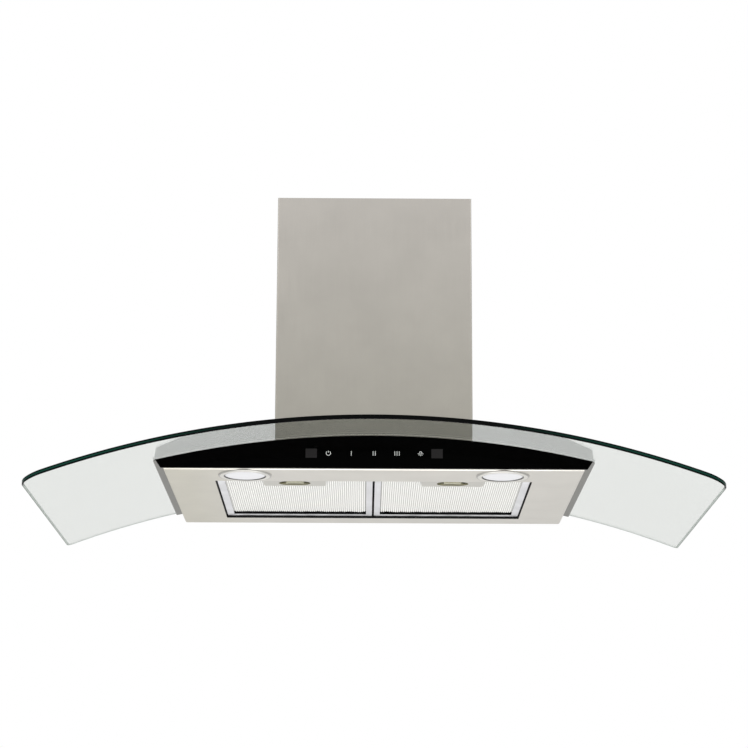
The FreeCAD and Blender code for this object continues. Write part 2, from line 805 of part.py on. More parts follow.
def make_front_room_wall():
    body = new_body("front_room_wall")
    half = "(tray_width / 2 - tray_fold - front_room_gap)"
    profile = new_sketch(body, "XZ_Plane", "front_room_wall")
    radius = f"({TRAY_RADIUS} - seat_gap)"
    head = arch(radius, half)
    outline(
        profile,
        [
            (f"-{half}", "sheet"),
            (half, "sheet"),
            (half, head, radius, 1),
            (f"-{half}", head),
        ],
    )
    pad(body, profile, "sheet")
    foot = new_sketch(body, "XY_Plane", "sheet")
    rectangle(
        foot,
        "-front_room_foot_half",
        "front_room_foot_half",
        "-front_room_wall",
        "-front_room_wall + front_room_foot",
    )
    pad(body, foot, "sheet")
    publish(body)


# ---------------------------------------------------------------- fascia


def make_front_fascia():
    body = new_body("front_fascia")
    radius = "(glass_radius - fascia_light_gap)"
    head = arch(radius, "fascia_head_half")
    profile = new_sketch(body, "XZ_Plane", f"-{TRAY_FRONT}")
    outline(
        profile,
        [
            ("-fascia_foot_half", "fascia_bottom"),
            ("fascia_foot_half", "fascia_bottom"),
            ("fascia_head_half", head, radius, 1),
            ("-fascia_head_half", head),
        ],
    )
    pad(body, profile, "fascia_thick")
    recess = new_sketch(body, "XZ_Plane", f"-{TRAY_FRONT} + fascia_thick - window_deep")
    for side in ("-", ""):
        window_outline(recess, side)
    pocket(body, recess, "window_deep")
    publish(body)


def window_outline(sketch, side):
    rectangle(
        sketch,
        f"{side}window_x - window_width / 2",
        f"{side}window_x + window_width / 2",
        "window_z - window_height / 2",
        "window_z + window_height / 2",
    )


def make_signal_windows():
    for name, side in (("signal_window_left", "-"), ("signal_window_right", "")):
        body = new_body(name)
        face = new_sketch(body, "XZ_Plane", f"-{TRAY_FRONT} + fascia_thick - window_deep")
        window_outline(face, side)
        pad(body, face, "window_deep")
        publish(body)


def make_touch_board():
    body = new_body("touch_board")
    face = new_sketch(body, "XZ_Plane", f"-{TRAY_FRONT} - sheet - board_standoff - board_thick")
    rectangle(
        face,
        "-board_width / 2",
        "board_width / 2",
        "window_z - board_height / 2",
        "window_z + board_height / 2",
        "board_corner",
    )
    pad(body, face, "board_thick")
    studs = new_sketch(body, "XZ_Plane", f"-{TRAY_FRONT} - sheet - board_standoff")
    for side in ("-", ""):
        middle = f"{side}(board_width / 2 - board_stud_land)"
        circle(studs, middle, "window_z", "board_stud_radius")
    pad(body, studs, "board_standoff")
    publish(body)
    keys = new_body("touch_pads")
    pads = new_sketch(keys, "XZ_Plane", f"-{TRAY_FRONT} - sheet - board_standoff")
    for key in range(-2, 3):
        rectangle(
            pads,
            f"{key} * key_pitch - key_pad_half",
            f"{key} * key_pitch + key_pad_half",
            "window_z - key_pad_half",
            "window_z + key_pad_half",
        )
    pad(keys, pads, "sheet + board_standoff")
    publish(keys)


def make_control_box():
    body = new_body("control_box")
    half = "control_width / 2"
    rear = "(-front_room_wall - sheet - control_gap)"
    front = f"({rear} - control_depth)"
    plan = new_sketch(body, "XY_Plane", "sheet")
    rectangle(plan, f"-{half}", half, front, rear, "control_corner")
    pad(body, plan, "control_height")
    inside = new_sketch(body, "XY_Plane", "sheet + junction_wall")
    wall = "junction_wall"
    rectangle(
        inside,
        f"-{half} + {wall}",
        f"{half} - {wall}",
        f"{front} + {wall}",
        f"{rear} - {wall}",
        f"(control_corner - {wall})",
    )
    pocket(body, inside, "control_height")
    publish(body)
    lid = new_body("control_box_lid")
    top = new_sketch(lid, "XY_Plane", "sheet + control_height")
    rectangle(top, f"-{half}", half, front, rear, "control_corner")
    pad(lid, top, "junction_wall")
    publish(lid)


# ---------------------------------------------------------------- lamps


def make_lamps():
    for name, side in (("left", "-"), ("right", "")):
        place = (side + "lamp_x", "-lamp_y")
        bezel = new_body("lamp_bezel_" + name)
        profile = new_sketch(bezel, "XZ_Plane")
        bore = "(lens_radius + lens_play)"
        outline(
            profile,
            [
                (bore, "-lamp_flange_thick"),
                ("lamp_flange_radius - bezel_bevel", "-lamp_flange_thick"),
                ("lamp_flange_radius", "-lamp_flange_thick + bezel_bevel"),
                ("lamp_flange_radius", "0"),
                ("lamp_tube_radius", "0"),
                ("lamp_tube_radius", "lamp_tube_height"),
                ("lamp_tube_radius - lamp_wall", "lamp_tube_height"),
                ("lamp_tube_radius - lamp_wall", "0"),
                (bore, "0"),
            ],
        )
        revolve(bezel, profile, "Z_Axis")
        publish(bezel, *place)
        make_lens(name, place)
        make_heat_sink(name, place)


def make_lens(name, place):
    lens = new_body("lamp_lens_" + name)
    profile = new_sketch(lens, "XZ_Plane")
    rim = "(lamp_tube_radius - lamp_wall - lamp_play)"
    outline(
        profile,
        [
            ("0", "-lens_proud"),
            ("lens_radius - lens_bevel", "-lens_proud"),
            ("lens_radius", "-lens_proud + lens_bevel / 2"),
            ("lens_radius", "0"),
            (rim, "0"),
            (rim, "lens_thick"),
            ("0", "lens_thick"),
        ],
    )
    revolve(lens, profile, "Z_Axis")
    publish(lens, *place)


def make_heat_sink(name, place):
    """Round lamp body with one deep groove between its two cooling discs."""
    body = new_body("lamp_body_" + name)
    profile = new_sketch(body, "XZ_Plane")
    rim = "(lamp_tube_radius - lamp_wall - lamp_play)"
    core = f"({rim} - heat_sink_groove)"
    low = "(lens_thick + heat_sink_height / 3)"
    high = "(lens_thick + 2 * heat_sink_height / 3)"
    top = "(lens_thick + heat_sink_height)"
    outline(
        profile,
        [
            ("0", "lens_thick"),
            (rim, "lens_thick"),
            (rim, low),
            (core, low),
            (core, high),
            (rim, high),
            (rim, top),
            ("0", top),
        ],
    )
    revolve(body, profile, "Z_Axis")
    publish(body, *place)


# ---------------------------------------------------------------- filters and latches


def filter_edges(side):
    """Left and right edge of a filter, and of its clear opening inside the frame faces."""
    inner = "filter_gap_middle / 2"
    outer = f"(filter_gap_middle / 2 + {FILTER_WIDTH})"
    if side == "-":
        return (
            f"-{outer}",
            f"-{inner}",
            f"-{outer} + filter_face",
            f"-{inner} - filter_face_inner",
        )
    return inner, outer, f"{inner} + filter_face_inner", f"{outer} - filter_face"


def make_filter_frame(name, side):
    body = new_body("filter_frame_" + name)
    left, right, clear_left, clear_right = filter_edges(side)
    outer = new_sketch(body, "XY_Plane", "filter_recess")
    rectangle(outer, left, right, FILTER_FRONT, FILTER_REAR, "filter_corner")
    pad(body, outer, "filter_thick")
    clear = new_sketch(body, "XY_Plane", "filter_recess")
    rectangle(
        clear,
        clear_left,
        clear_right,
        f"{FILTER_FRONT} + filter_face",
        f"{FILTER_REAR} - filter_face",
    )
    pocket(body, clear, "filter_thick")
    channel = new_sketch(body, "XY_Plane", "filter_recess + filter_hem")
    rectangle(
        channel,
        f"{left} + filter_wall",
        f"{right} - filter_wall",
        f"{FILTER_FRONT} + filter_wall",
        f"{FILTER_REAR} - filter_wall",
        "(filter_corner - filter_wall)",
    )
    pocket(body, channel, "filter_thick - filter_hem - filter_wall")
    hooks = new_sketch(body, "XY_Plane", "hook_height - hook_thick / 2")
    for hook in ("-", "+"):
        middle = f"({side}{FILTER_X} {hook} hook_spread)"
        rectangle(
            hooks,
            f"{middle} - hook_wide / 2",
            f"{middle} + hook_wide / 2",
            f"{FILTER_REAR} - filter_wall",
            f"{OPENING_REAR} + sheet + hook_reach",
        )
    pad(body, hooks, "hook_thick")
    bolt = new_sketch(body, "XZ_Plane", f"-{FILTER_FRONT} - 2 * filter_wall")
    rectangle(
        bolt,
        f"{side}{FILTER_X} - bolt_half_width - latch_play",
        f"{side}{FILTER_X} + bolt_half_width + latch_play",
        "slider_height - latch_play",
        "slider_height + slider_thick + latch_play",
    )
    pocket(body, bolt, "3 * filter_wall")
    publish(body)


def notch_for_latch(body, side, low):
    """Room for the latch cup in the mesh pack."""
    sketch = new_sketch(body, "XY_Plane", low)
    room = "(cup_half_width + seat_gap)"
    rectangle(
        sketch,
        f"{side}{FILTER_X} - {room}",
        f"{side}{FILTER_X} + {room}",
        f"{FILTER_FRONT} - sheet",
        "-cup_rear + seat_gap",
    )
    pocket(body, sketch, "filter_thick")


def make_filter_core(name, side):
    body = new_body("filter_core_" + name)
    left, right, _, _ = filter_edges(side)
    low = f"({MESH_FLOOR} + mesh_height + mesh_sheet)"
    plan = new_sketch(body, "XY_Plane", low)
    inset = "(filter_wall + filter_pack_gap)"
    rectangle(
        plan,
        f"{left} + {inset}",
        f"{right} - {inset}",
        f"{FILTER_FRONT} + {inset}",
        f"{FILTER_REAR} - {inset}",
    )
    pad(body, plan, f"{FILTER_TOP} - filter_wall - seat_gap - {low}")
    notch_for_latch(body, side, low)
    publish(body)


def make_filter_mesh(name, side):
    """Pleated mesh pad: ridges along Y underneath, flat on top, less the room for the latch."""
    sign = -1 if side == "-" else 1
    inset = value("filter_wall + filter_pack_gap")
    middle = sign * value(FILTER_X)
    width = value(FILTER_WIDTH) - 2 * inset
    pleats = int(width / value("mesh_pitch"))
    half_pitch = width / pleats / 2
    low = value(MESH_FLOOR)
    height = value("mesh_height")
    sheet = value("mesh_sheet")
    front = value(FILTER_FRONT) + inset
    depth = value(FILTER_REAR) - inset - front
    under = []
    for index in range(2 * pleats + 1):
        x = middle - width / 2 + index * half_pitch
        under.append(FreeCAD.Vector(x, front, low + (index % 2) * height))
    back = [
        FreeCAD.Vector(middle + width / 2, front, low + height + sheet),
        FreeCAD.Vector(middle - width / 2, front, low + height + sheet),
    ]
    face = Part.Face(Part.makePolygon(under + back + under[:1]))
    strip = face.extrude(FreeCAD.Vector(0, depth, 0))
    room = value("cup_half_width + seat_gap")
    notch = Part.makeBox(
        2 * room,
        value("-cup_rear + seat_gap") - front + 1,
        4 * height,
        FreeCAD.Vector(middle - room, front - 1, low - height),
    )
    piece = DOC.addObject("Part::Feature", "filter_mesh_" + name)
    piece.Shape = strip.cut(notch)
    publish(piece)


def make_latch_housing(name, side):
    body = new_body("latch_housing_" + name)
    middle = f"({side}{FILTER_X})"
    low = "(filter_recess - latch_plate_thick)"
    rear = "(-latch_plate_front + latch_plate_depth)"
    face = new_sketch(body, "XY_Plane", low)
    rectangle(
        face,
        f"{middle} - latch_plate_width / 2",
        f"{middle} + latch_plate_width / 2",
        "-latch_plate_front",
        rear,
        "latch_plate_corner",
    )
    pad(body, face, "latch_plate_thick")
    cup = new_sketch(body, "XY_Plane", "filter_recess")
    left = f"{middle} - cup_half_width"
    right = f"{middle} + cup_half_width"
    rectangle(cup, left, right, "-cup_front", "-cup_rear", "cup_corner")
    pad(body, cup, "filter_thick - filter_wall - 2 * seat_gap")
    inside = new_sketch(body, "XY_Plane", "filter_recess + cup_wall")
    rectangle(
        inside,
        f"{left} + cup_wall",
        f"{right} - cup_wall",
        "-cup_front + cup_wall",
        "-cup_rear - cup_wall",
        "(cup_corner - cup_wall)",
    )
    pocket(body, inside, "filter_thick - filter_wall - 2 * seat_gap - 2 * cup_wall")
    finger = new_sketch(body, "XY_Plane", low)
    slot_y = "(-cup_front + cup_wall + finger_slot_depth / 2 + finger_slot_land)"
    stadium(finger, middle, slot_y, "finger_slot_width", "finger_slot_depth")
    pocket(body, finger, "latch_plate_thick + 2 * cup_wall")
    bolt = new_sketch(body, "XZ_Plane", "cup_front - 2 * cup_wall")
    rectangle(
        bolt,
        f"{middle} - bolt_half_width - latch_play",
        f"{middle} + bolt_half_width + latch_play",
        "slider_height - latch_play",
        "slider_height + slider_thick + latch_play",
    )
    pocket(body, bolt, "3 * cup_wall")
    publish(body)


def make_latch_slider(name, side):
    body = new_body("latch_slider_" + name)
    middle = f"({side}{FILTER_X})"
    plate = new_sketch(body, "XY_Plane", "slider_height")
    rear = f"({SLIDER_FRONT} + slider_depth)"
    tip = f"({FILTER_FRONT} + bolt_set_back)"
    outline(
        plate,
        [
            (f"{middle} - bolt_half_width", tip),
            (f"{middle} + bolt_half_width", tip),
            (f"{middle} + bolt_half_width", SLIDER_FRONT),
            (f"{middle} + slider_half_width", SLIDER_FRONT),
            (f"{middle} + slider_half_width", rear),
            (f"{middle} - slider_half_width", rear),
            (f"{middle} - slider_half_width", SLIDER_FRONT),
            (f"{middle} - bolt_half_width", SLIDER_FRONT),
        ],
    )
    pad(body, plate, "slider_thick")
    grip = new_sketch(body, "XY_Plane", "filter_recess + grip_lift")
    grip_front = f"{SLIDER_FRONT} + slider_depth / 2 + sheet"
    rectangle(
        grip,
        f"{middle} - slider_half_width / 2",
        f"{middle} + slider_half_width / 2",
        grip_front,
        f"{grip_front} + grip_thick",
        "grip_corner",
    )
    pad(body, grip, "slider_height - filter_recess - grip_lift")
    publish(body)


def make_latch_spring(name, side):
    """Bent spring strip between the slider, drawn back, and the rear of the cup."""
    body = new_body("latch_spring_" + name)
    middle = f"({side}{FILTER_X})"
    front = f"({SLIDER_FRONT} + slider_depth + seat_gap)"
    rear = "(-cup_rear - cup_wall)"
    half = "(slider_half_width / 2)"
    strip = new_sketch(body, "XY_Plane", "slider_height - spring_height / 2")
    outline(
        strip,
        [
            (f"{middle} - {half}", f"{rear} - spring_thick"),
            (f"{middle} - {half}", rear),
            (middle, f"{front} + spring_thick"),
            (f"{middle} + {half}", rear),
            (f"{middle} + {half}", f"{rear} - spring_thick"),
            (middle, front),
        ],
    )
    pad(body, strip, "spring_height")
    publish(body)


def make_filters():
    for name, side in (("left", "-"), ("right", "")):
        make_filter_frame(name, side)
        make_filter_mesh(name, side)
        make_filter_core(name, side)
        make_latch_housing(name, side)
        make_latch_slider(name, side)
        make_latch_spring(name, side)


# ---------------------------------------------------------------- blower


def wall_hole_places():
    return [
        (f"{x}wall_hole_x / 2", f"mount_height {z} wall_hole_z / 2")
        for x in ("-", "")
        for z in ("-", "+")
    ]


def make_wall_plate():
    body = new_body("wall_plate")
    face = new_sketch(body, "XZ_Plane")
    rectangle(
        face,
        "-plate_width / 2",
        "plate_width / 2",
        "mount_height - plate_height / 2",
        "mount_height + plate_height / 2",
        "plate_corner",
    )
    for x, z in wall_hole_places():
        circle(face, x, z, "wall_hole_radius")
    pad(body, face, "plate_thick")
    publish(body)


def make_blower_box():
    body = new_body("blower_box")
    plan = new_sketch(body, "XY_Plane", "throat_top")
    half = "box_width / 2"
    rectangle(plan, f"-{half}", half, "-box_front", BOX_REAR)
    pad(body, plan, "box_top - throat_top")
    inside = new_sketch(body, "XY_Plane", "throat_top + sheet")
    rectangle(
        inside, f"-{half} + sheet", f"{half} - sheet", "-box_front + sheet", f"{BOX_REAR} - sheet"
    )
    pocket(body, inside, "box_top - throat_top")
    floor = new_sketch(body, "XY_Plane", "throat_top")
    rectangle(floor, "-throat_width / 2", "throat_width / 2", THROAT_FRONT, THROAT_REAR)
    for x, y in box_screw_places():
        circle(floor, x, y, "screw_radius + screw_play")
    pocket(body, floor, "sheet")
    holes = new_sketch(body, "XZ_Plane")
    for x, z in wall_hole_places():
        circle(holes, x, z, "wall_hole_radius + wall_hole_play")
    pocket(body, holes, "plate_thick + 2 * sheet")
    publish(body)


def make_blower_top_plate():
    body = new_body("blower_top_plate")
    plan = new_sketch(body, "XY_Plane", "box_top")
    half = "box_width / 2"
    rectangle(plan, f"-{half}", half, "-box_front", BOX_REAR)
    rectangle(
        plan,
        "-scroll_half_width",
        "scroll_half_width",
        f"{FAN_Y} + scroll_cut_off",
        f"{FAN_Y} + {SCROLL_REAR}",
    )
    pad(body, plan, "sheet")
    publish(body)


def scroll_profile(sketch, grow):
    """Four-centre scroll in the YZ plane: three quarter arcs whose centres step round a square,
    then the straight discharge. grow moves the outline outwards by a wall."""
    half = "scroll_step / 2"
    start = f"({SCROLL_START} + {grow})"
    left_y = f"{FAN_Y} - {half} - {start}"
    bottom_z = f"{FAN_Z} - {half} - {start} - scroll_step"
    right_y = f"{FAN_Y} + {half} + {start} + 2 * scroll_step"
    cut_off = f"{FAN_Y} + scroll_cut_off - {grow}"
    tip = f"(scroll_tip - {grow})"
    top = "box_top"
    outline(
        sketch,
        [
            (f"{FAN_Y} - {half}", f"{FAN_Z} - {half} + {start}", start, 1),
            (left_y, f"{FAN_Z} - {half}", f"{start} + scroll_step", 1),
            (f"{FAN_Y} + {half}", bottom_z, f"{start} + 2 * scroll_step", 1),
            (right_y, f"{FAN_Z} + {half}"),
            (right_y, top),
            (cut_off, top),
            (cut_off, f"{FAN_Z} - {half} + {start} + {tip}", tip, -1),
            (f"{cut_off} - {tip}", f"{FAN_Z} - {half} + {start}"),
        ],
    )


def make_scroll_housing():
    body = new_body("scroll_housing")
    outer = new_sketch(body, "YZ_Plane")
    scroll_profile(outer, "sheet")
    pad(body, outer, "2 * (scroll_half_width + sheet)", symmetric=True)
    inner = new_sketch(body, "YZ_Plane")
    scroll_profile(inner, "0")
    pocket(body, inner, "2 * scroll_half_width", symmetric=True)
    inlets = new_sketch(body, "YZ_Plane")
    circle(inlets, FAN_Y, FAN_Z, "inlet_radius + seat_gap")
    pocket(body, inlets, "2 * (scroll_half_width + sheet)", symmetric=True)
    flange = new_sketch(body, "XY_Plane", "box_top - sheet")
    for side in ("-", ""):
        near = f"{side}(scroll_half_width + sheet)"
        far = f"{side}(scroll_half_width + sheet + scroll_tab)"
        left, right = (far, near) if side == "-" else (near, far)
        front = f"{FAN_Y} + scroll_cut_off"
        rectangle(flange, left, right, front, f"{FAN_Y} + {SCROLL_REAR}")
    pad(body, flange, "sheet")
    publish(body)


def make_inlet_rings():
    """Tapered edges that lead the air from the box into the eyes of the impeller."""
    body = new_body("inlet_rings")
    profile = new_sketch(body, "XZ_Plane")
    face = "(scroll_half_width + sheet)"
    inner = f"({face} - inlet_lip)"
    for side in ("-", ""):
        outline(
            profile,
            [
                (f"{side}{face}", "inlet_radius"),
                (f"{side}{inner}", "inlet_radius - inlet_lip"),
                (f"{side}{inner}", "inlet_radius - inlet_lip + sheet"),
                (f"{side}({face} - sheet)", "inlet_radius"),
            ],
        )
    revolve(body, profile, "X_Axis")
    publish(body, "0", FAN_Y, FAN_Z)


def make_impeller():
    body = new_body("impeller")
    blade = new_sketch(body, "YZ_Plane", "-fan_width / 2")
    blade.AttachmentOffset = FreeCAD.Placement(
        FreeCAD.Vector(0, 0, 0),
        FreeCAD.Rotation(FreeCAD.Vector(0, 0, 1), value("blade_lead")),
    )
    blade.setExpression("AttachmentOffset.Base.z", tie("-fan_width / 2"))
    blade.setExpression("AttachmentOffset.Rotation.Angle", tie("blade_lead"))
    middle = "(fan_radius - blade_chord / 2 + blade_tuck)"
    blade.setExpression("AttachmentOffset.Base.x", tie(middle))
    half = "(blade_chord / 2)"
    depth = f"sqrt(blade_curve^2 - {half}^2)"
    share = "((blade_curve - blade_thick) / blade_curve)"
    outline(
        blade,
        [
            (f"-{half}", "0", "blade_curve", 1),
            (half, "0"),
            (f"{half} * {share}", f"{depth} * (1 - {share})", "blade_curve - blade_thick", -1),
            (f"-{half} * {share}", f"{depth} * (1 - {share})"),
        ],
    )
    first = pad(body, blade, "fan_width")
    repeat_round(body, first, "X_Axis", "blade_count")
    for start in ("-fan_width / 2 - fan_ring", "fan_width / 2"):
        ring = new_sketch(body, "YZ_Plane", start)
        circle(ring, "0", "0", "fan_radius + 2 * blade_tuck")
        circle(ring, "0", "0", "fan_radius - fan_ring_width")
        pad(body, ring, "fan_ring")
    disc = new_sketch(body, "YZ_Plane", "-fan_disc / 2")
    circle(disc, "0", "0", "fan_radius - blade_chord + fan_ring")
    circle(disc, "0", "0", "shaft_radius")
    pad(body, disc, "fan_disc")
    hub = new_sketch(body, "YZ_Plane", "-fan_disc / 2 - hub_reach")
    circle(hub, "0", "0", "hub_radius")
    circle(hub, "0", "0", "shaft_radius")
    pad(body, hub, "fan_disc + 2 * hub_reach")
    publish(body, "0", FAN_Y, FAN_Z)


def make_impeller_nut():
    body = new_body("impeller_nut")
    face = new_sketch(body, "YZ_Plane", "-fan_disc / 2 - hub_reach - nut_height")
    hexagon(face, "0", "0", "(1.7 * shaft_radius)")
    circle(face, "0", "0", "shaft_radius")
    pad(body, face, "nut_height")
    publish(body, "0", FAN_Y, FAN_Z)


def make_motor():
    body = new_body("motor")
    profile = new_sketch(body, "XZ_Plane")
    end = "(motor_start + motor_length)"
    bore = "(shaft_radius + shaft_play)"
    face = "(motor_start + motor_nose_length)"
    outline(
        profile,
        [
            ("motor_start", bore),
            ("motor_start + motor_shaft_depth", bore),
            ("motor_start + motor_shaft_depth", "0"),
            (end, "0"),
            (end, "motor_radius - motor_bevel"),
            (f"{end} - motor_bevel", "motor_radius"),
            (f"{face} + motor_bevel", "motor_radius"),
            (face, "motor_radius - motor_bevel"),
            (face, "motor_nose"),
            ("motor_start", "motor_nose"),
        ],
    )
    revolve(body, profile, "X_Axis")
    publish(body, "0", FAN_Y, FAN_Z)
    shaft = new_body("motor_shaft")
    start = "(fan_disc / 2 + hub_reach + nut_height + shaft_radius)"
    section = new_sketch(shaft, "YZ_Plane", f"-{start}")
    circle(section, "0", "0", "shaft_radius")
    pad(shaft, section, f"{start} + motor_start + motor_shaft_depth - sheet")
    publish(shaft, "0", FAN_Y, FAN_Z)


def make_motor_bracket():
    body = new_body("motor_bracket")
    foot = "(scroll_half_width + sheet)"
    ring = new_sketch(body, "YZ_Plane", f"{foot} + arm_thick")
    circle(ring, "0", "0", "motor_radius + arm_width / 2")
    circle(ring, "0", "0", "motor_radius + seat_gap")
    pad(body, ring, "arm_thick")
    arm = new_sketch(body, "YZ_Plane", f"{foot} + arm_thick")
    reach = "inlet_radius + arm_land"
    rectangle(arm, "-arm_width / 2", "arm_width / 2", "motor_radius + arm_thick", reach)
    first = pad(body, arm, "arm_thick")
    repeat_round(body, first, "X_Axis", "3")
    heel = new_sketch(body, "YZ_Plane", foot)
    rectangle(heel, "-arm_width / 2", "arm_width / 2", "inlet_radius + arm_thick / 2", reach)
    second = pad(body, heel, "arm_thick")
    repeat_round(body, second, "X_Axis", "3")
    publish(body, "0", FAN_Y, FAN_Z)


def make_capacitor():
    body = new_body("capacitor")
    wall = "(-box_front + sheet)"
    centre_y = f"{wall} + clip_thick + capacitor_radius"
    centre_x = "-box_width / 2 + capacitor_side"
    foot = "throat_top + capacitor_lift"
    profile = new_sketch(body, "XZ_Plane")
    outline(
        profile,
        [
            ("0", "0"),
            ("capacitor_radius", "0"),
            ("capacitor_radius", "capacitor_height"),
            ("capacitor_stud", "capacitor_height"),
            ("capacitor_stud", "capacitor_height + capacitor_stud_height"),
            ("0", "capacitor_height + capacitor_stud_height"),
        ],
    )
    revolve(body, profile, "Z_Axis")
    publish(body, centre_x, centre_y, foot)
    clip = new_body("capacitor_clip")
    plan = new_sketch(clip, "XY_Plane", "clip_band_lift")
    circle(plan, "0", "0", "capacitor_radius + clip_thick")
    pad(clip, plan, "clip_band")
    ears = new_sketch(clip, "XY_Plane", "clip_band_lift")
    back = "(-capacitor_radius - clip_thick)"
    half = "(capacitor_radius + clip_ear)"
    rectangle(ears, f"-{half}", half, back, f"{back} + clip_thick")
    pad(clip, ears, "clip_band")
    bore = new_sketch(clip, "XY_Plane", "clip_band_lift")
    circle(bore, "0", "0", "capacitor_radius + seat_gap")
    pocket(clip, bore, "clip_band")
    publish(clip, centre_x, centre_y, foot)


def make_junction_box():
    left = "(-box_width / 2 + junction_side)"
    right = f"({left} + junction_width)"
    front = "(-box_front + junction_front)"
    rear = f"({front} + junction_depth)"
    middle = f"({left} + junction_width / 2)"
    floor = "(box_top + sheet)"
    entry_z = f"{floor} + junction_height / 2"
    body = new_body("junction_box")
    plan = new_sketch(body, "XY_Plane", floor)
    rectangle(plan, left, right, front, rear, "junction_corner")
    pad(body, plan, "junction_height")
    inside = new_sketch(body, "XY_Plane", f"{floor} + junction_wall")
    wall = "junction_wall"
    rectangle(
        inside,
        f"{left} + {wall}",
        f"{right} - {wall}",
        f"{front} + {wall}",
        f"{rear} - {wall}",
        f"(junction_corner - {wall})",
    )
    pocket(body, inside, "junction_height")
    entry = new_sketch(body, "XZ_Plane", f"-{rear} - sheet")
    circle(entry, middle, entry_z, "cable_radius + grommet_wall + seat_gap")
    pocket(body, entry, "junction_wall + 2 * sheet")
    publish(body)
    lid = new_body("junction_box_lid")
    top = new_sketch(lid, "XY_Plane", f"{floor} + junction_height")
    rectangle(top, left, right, front, rear, "junction_corner")
    pad(lid, top, "junction_wall")
    publish(lid)
    make_terminal_block(middle, front, f"{floor} + junction_wall")
    make_cable_grommet(middle, rear, entry_z)


def make_terminal_block(middle, front, floor):
    body = new_body("terminal_block")
    base = new_sketch(body, "XY_Plane", floor)
    start = f"({front} + terminal_land)"
    rectangle(
        base,
        f"{middle} - terminal_width / 2",
        f"{middle} + terminal_width / 2",
        start,
        f"{start} + terminal_length",
    )
    pad(body, base, "terminal_height")
    wells = new_sketch(body, "XY_Plane", f"{floor} + terminal_height / 2")
    for row in range(3):
        circle(wells, middle, f"{start} + {row + 0.5} * terminal_pitch", "terminal_well")
    pocket(body, wells, "terminal_height / 2")
    publish(body)


def make_cable_grommet(x, y, z):
    body = new_body("cable_grommet")
    profile = new_sketch(body, "YZ_Plane")
    outline(
        profile,
        [
            ("-junction_wall", "cable_radius"),
            ("grommet_lip", "cable_radius"),
            ("grommet_lip", "cable_radius + 2 * grommet_wall"),
            ("0", "cable_radius + 2 * grommet_wall"),
            ("0", "cable_radius + grommet_wall"),
            ("-junction_wall", "cable_radius + grommet_wall"),
        ],
    )
    revolve(body, profile, "Y_Axis")
    publish(body, x, y, z)


# ---------------------------------------------------------------- outlet and damper


def chorded_rectangle(sketch, left, right, front, rear, radius):
    """Rectangle with each round corner drawn as five chords, 15 degrees apart. Where radius is
    half its width it is a circle of 24 chords, and two such outlines loft with flat faces."""
    corners = []
    for start, x, y in (
        (0, f"({right} - {radius})", f"({rear} - {radius})"),
        (90, f"({left} + {radius})", f"({rear} - {radius})"),
        (180, f"({left} + {radius})", f"({front} + {radius})"),
        (270, f"({right} - {radius})", f"({front} + {radius})"),
    ):
        for chord in range(6):
            turn = start + 7.5 + 15 * chord
            corners.append((f"{x} + {radius} * cos({turn})", f"{y} + {radius} * sin({turn})"))
    outline(sketch, corners)


def scroll_mouth(sketch, inset):
    """Outlet of the scroll, drawn in by inset."""
    chorded_rectangle(
        sketch,
        f"(-scroll_half_width + {inset})",
        f"(scroll_half_width - {inset})",
        f"({FAN_Y} + scroll_cut_off + {inset})",
        f"({FAN_Y} + {SCROLL_REAR} - {inset})",
        f"(adapter_corner - {inset})",
    )


def loft_pair(body, inset, kind):
    """Rectangle over the scroll outlet to circle at the foot of the spigot."""
    foot = new_sketch(body, "XY_Plane", "box_top + sheet + adapter_flange")
    scroll_mouth(foot, inset)
    head = new_sketch(body, "XY_Plane", "duct_start")
    radius = f"(duct_radius - {inset})"
    front = f"(-duct_y - {radius})"
    rear = f"(-duct_y + {radius})"
    chorded_rectangle(head, f"(-{radius})", radius, front, rear, radius)
    feature = body.newObject(f"PartDesign::{kind}Loft", body.Name + "_loft")
    feature.Profile = foot
    feature.Sections = [head]
    feature.Ruled = True
    return feature


def make_outlet_adapter():
    body = new_body("outlet_adapter")
    flange = new_sketch(body, "XY_Plane", "box_top + sheet")
    rectangle(
        flange,
        "-scroll_half_width - adapter_land",
        "scroll_half_width + adapter_land",
        f"{FAN_Y} + scroll_cut_off - adapter_land",
        "-plate_thick - sheet",
        "adapter_corner / 2",
    )
    pad(body, flange, "adapter_flange")
    loft_pair(body, "0", "Additive")
    spigot = new_sketch(body, "XY_Plane", "duct_start")
    circle(spigot, "0", "-duct_y", "duct_radius")
    pad(body, spigot, "duct_length")
    loft_pair(body, "duct_wall", "Subtractive")
    mouth = new_sketch(body, "XY_Plane", "box_top + sheet")
    scroll_mouth(mouth, "duct_wall")
    pocket(body, mouth, "adapter_flange")
    bore = new_sketch(body, "XY_Plane", "duct_start")
    circle(bore, "0", "-duct_y", "duct_radius - duct_wall")
    pocket(body, bore, "duct_length")
    stops = new_sketch(body, "XY_Plane", f"{FLAP_Z} - flap_thick / 2 - axle_radius / 5 - flap_stop")
    for way in ("-", "+"):
        centre = f"(-duct_y {way} (duct_radius - duct_wall - flap_stop))"
        low = f"{centre} - 1.5 * flap_stop"
        rectangle(stops, "-flap_stop_half", "flap_stop_half", low, f"{low} + 3 * flap_stop")
    pad(body, stops, "flap_stop")
    axle = new_sketch(body, "YZ_Plane", "-duct_radius")
    circle(axle, "-duct_y", FLAP_Z, "axle_radius + shaft_play")
    pocket(body, axle, "2 * duct_radius")
    publish(body)


def make_damper_axle():
    body = new_body("damper_axle")
    section = new_sketch(body, "YZ_Plane", "-duct_radius")
    circle(section, "0", "0", "axle_radius")
    pad(body, section, "2 * duct_radius")
    publish(body, "0", "-duct_y", FLAP_Z)


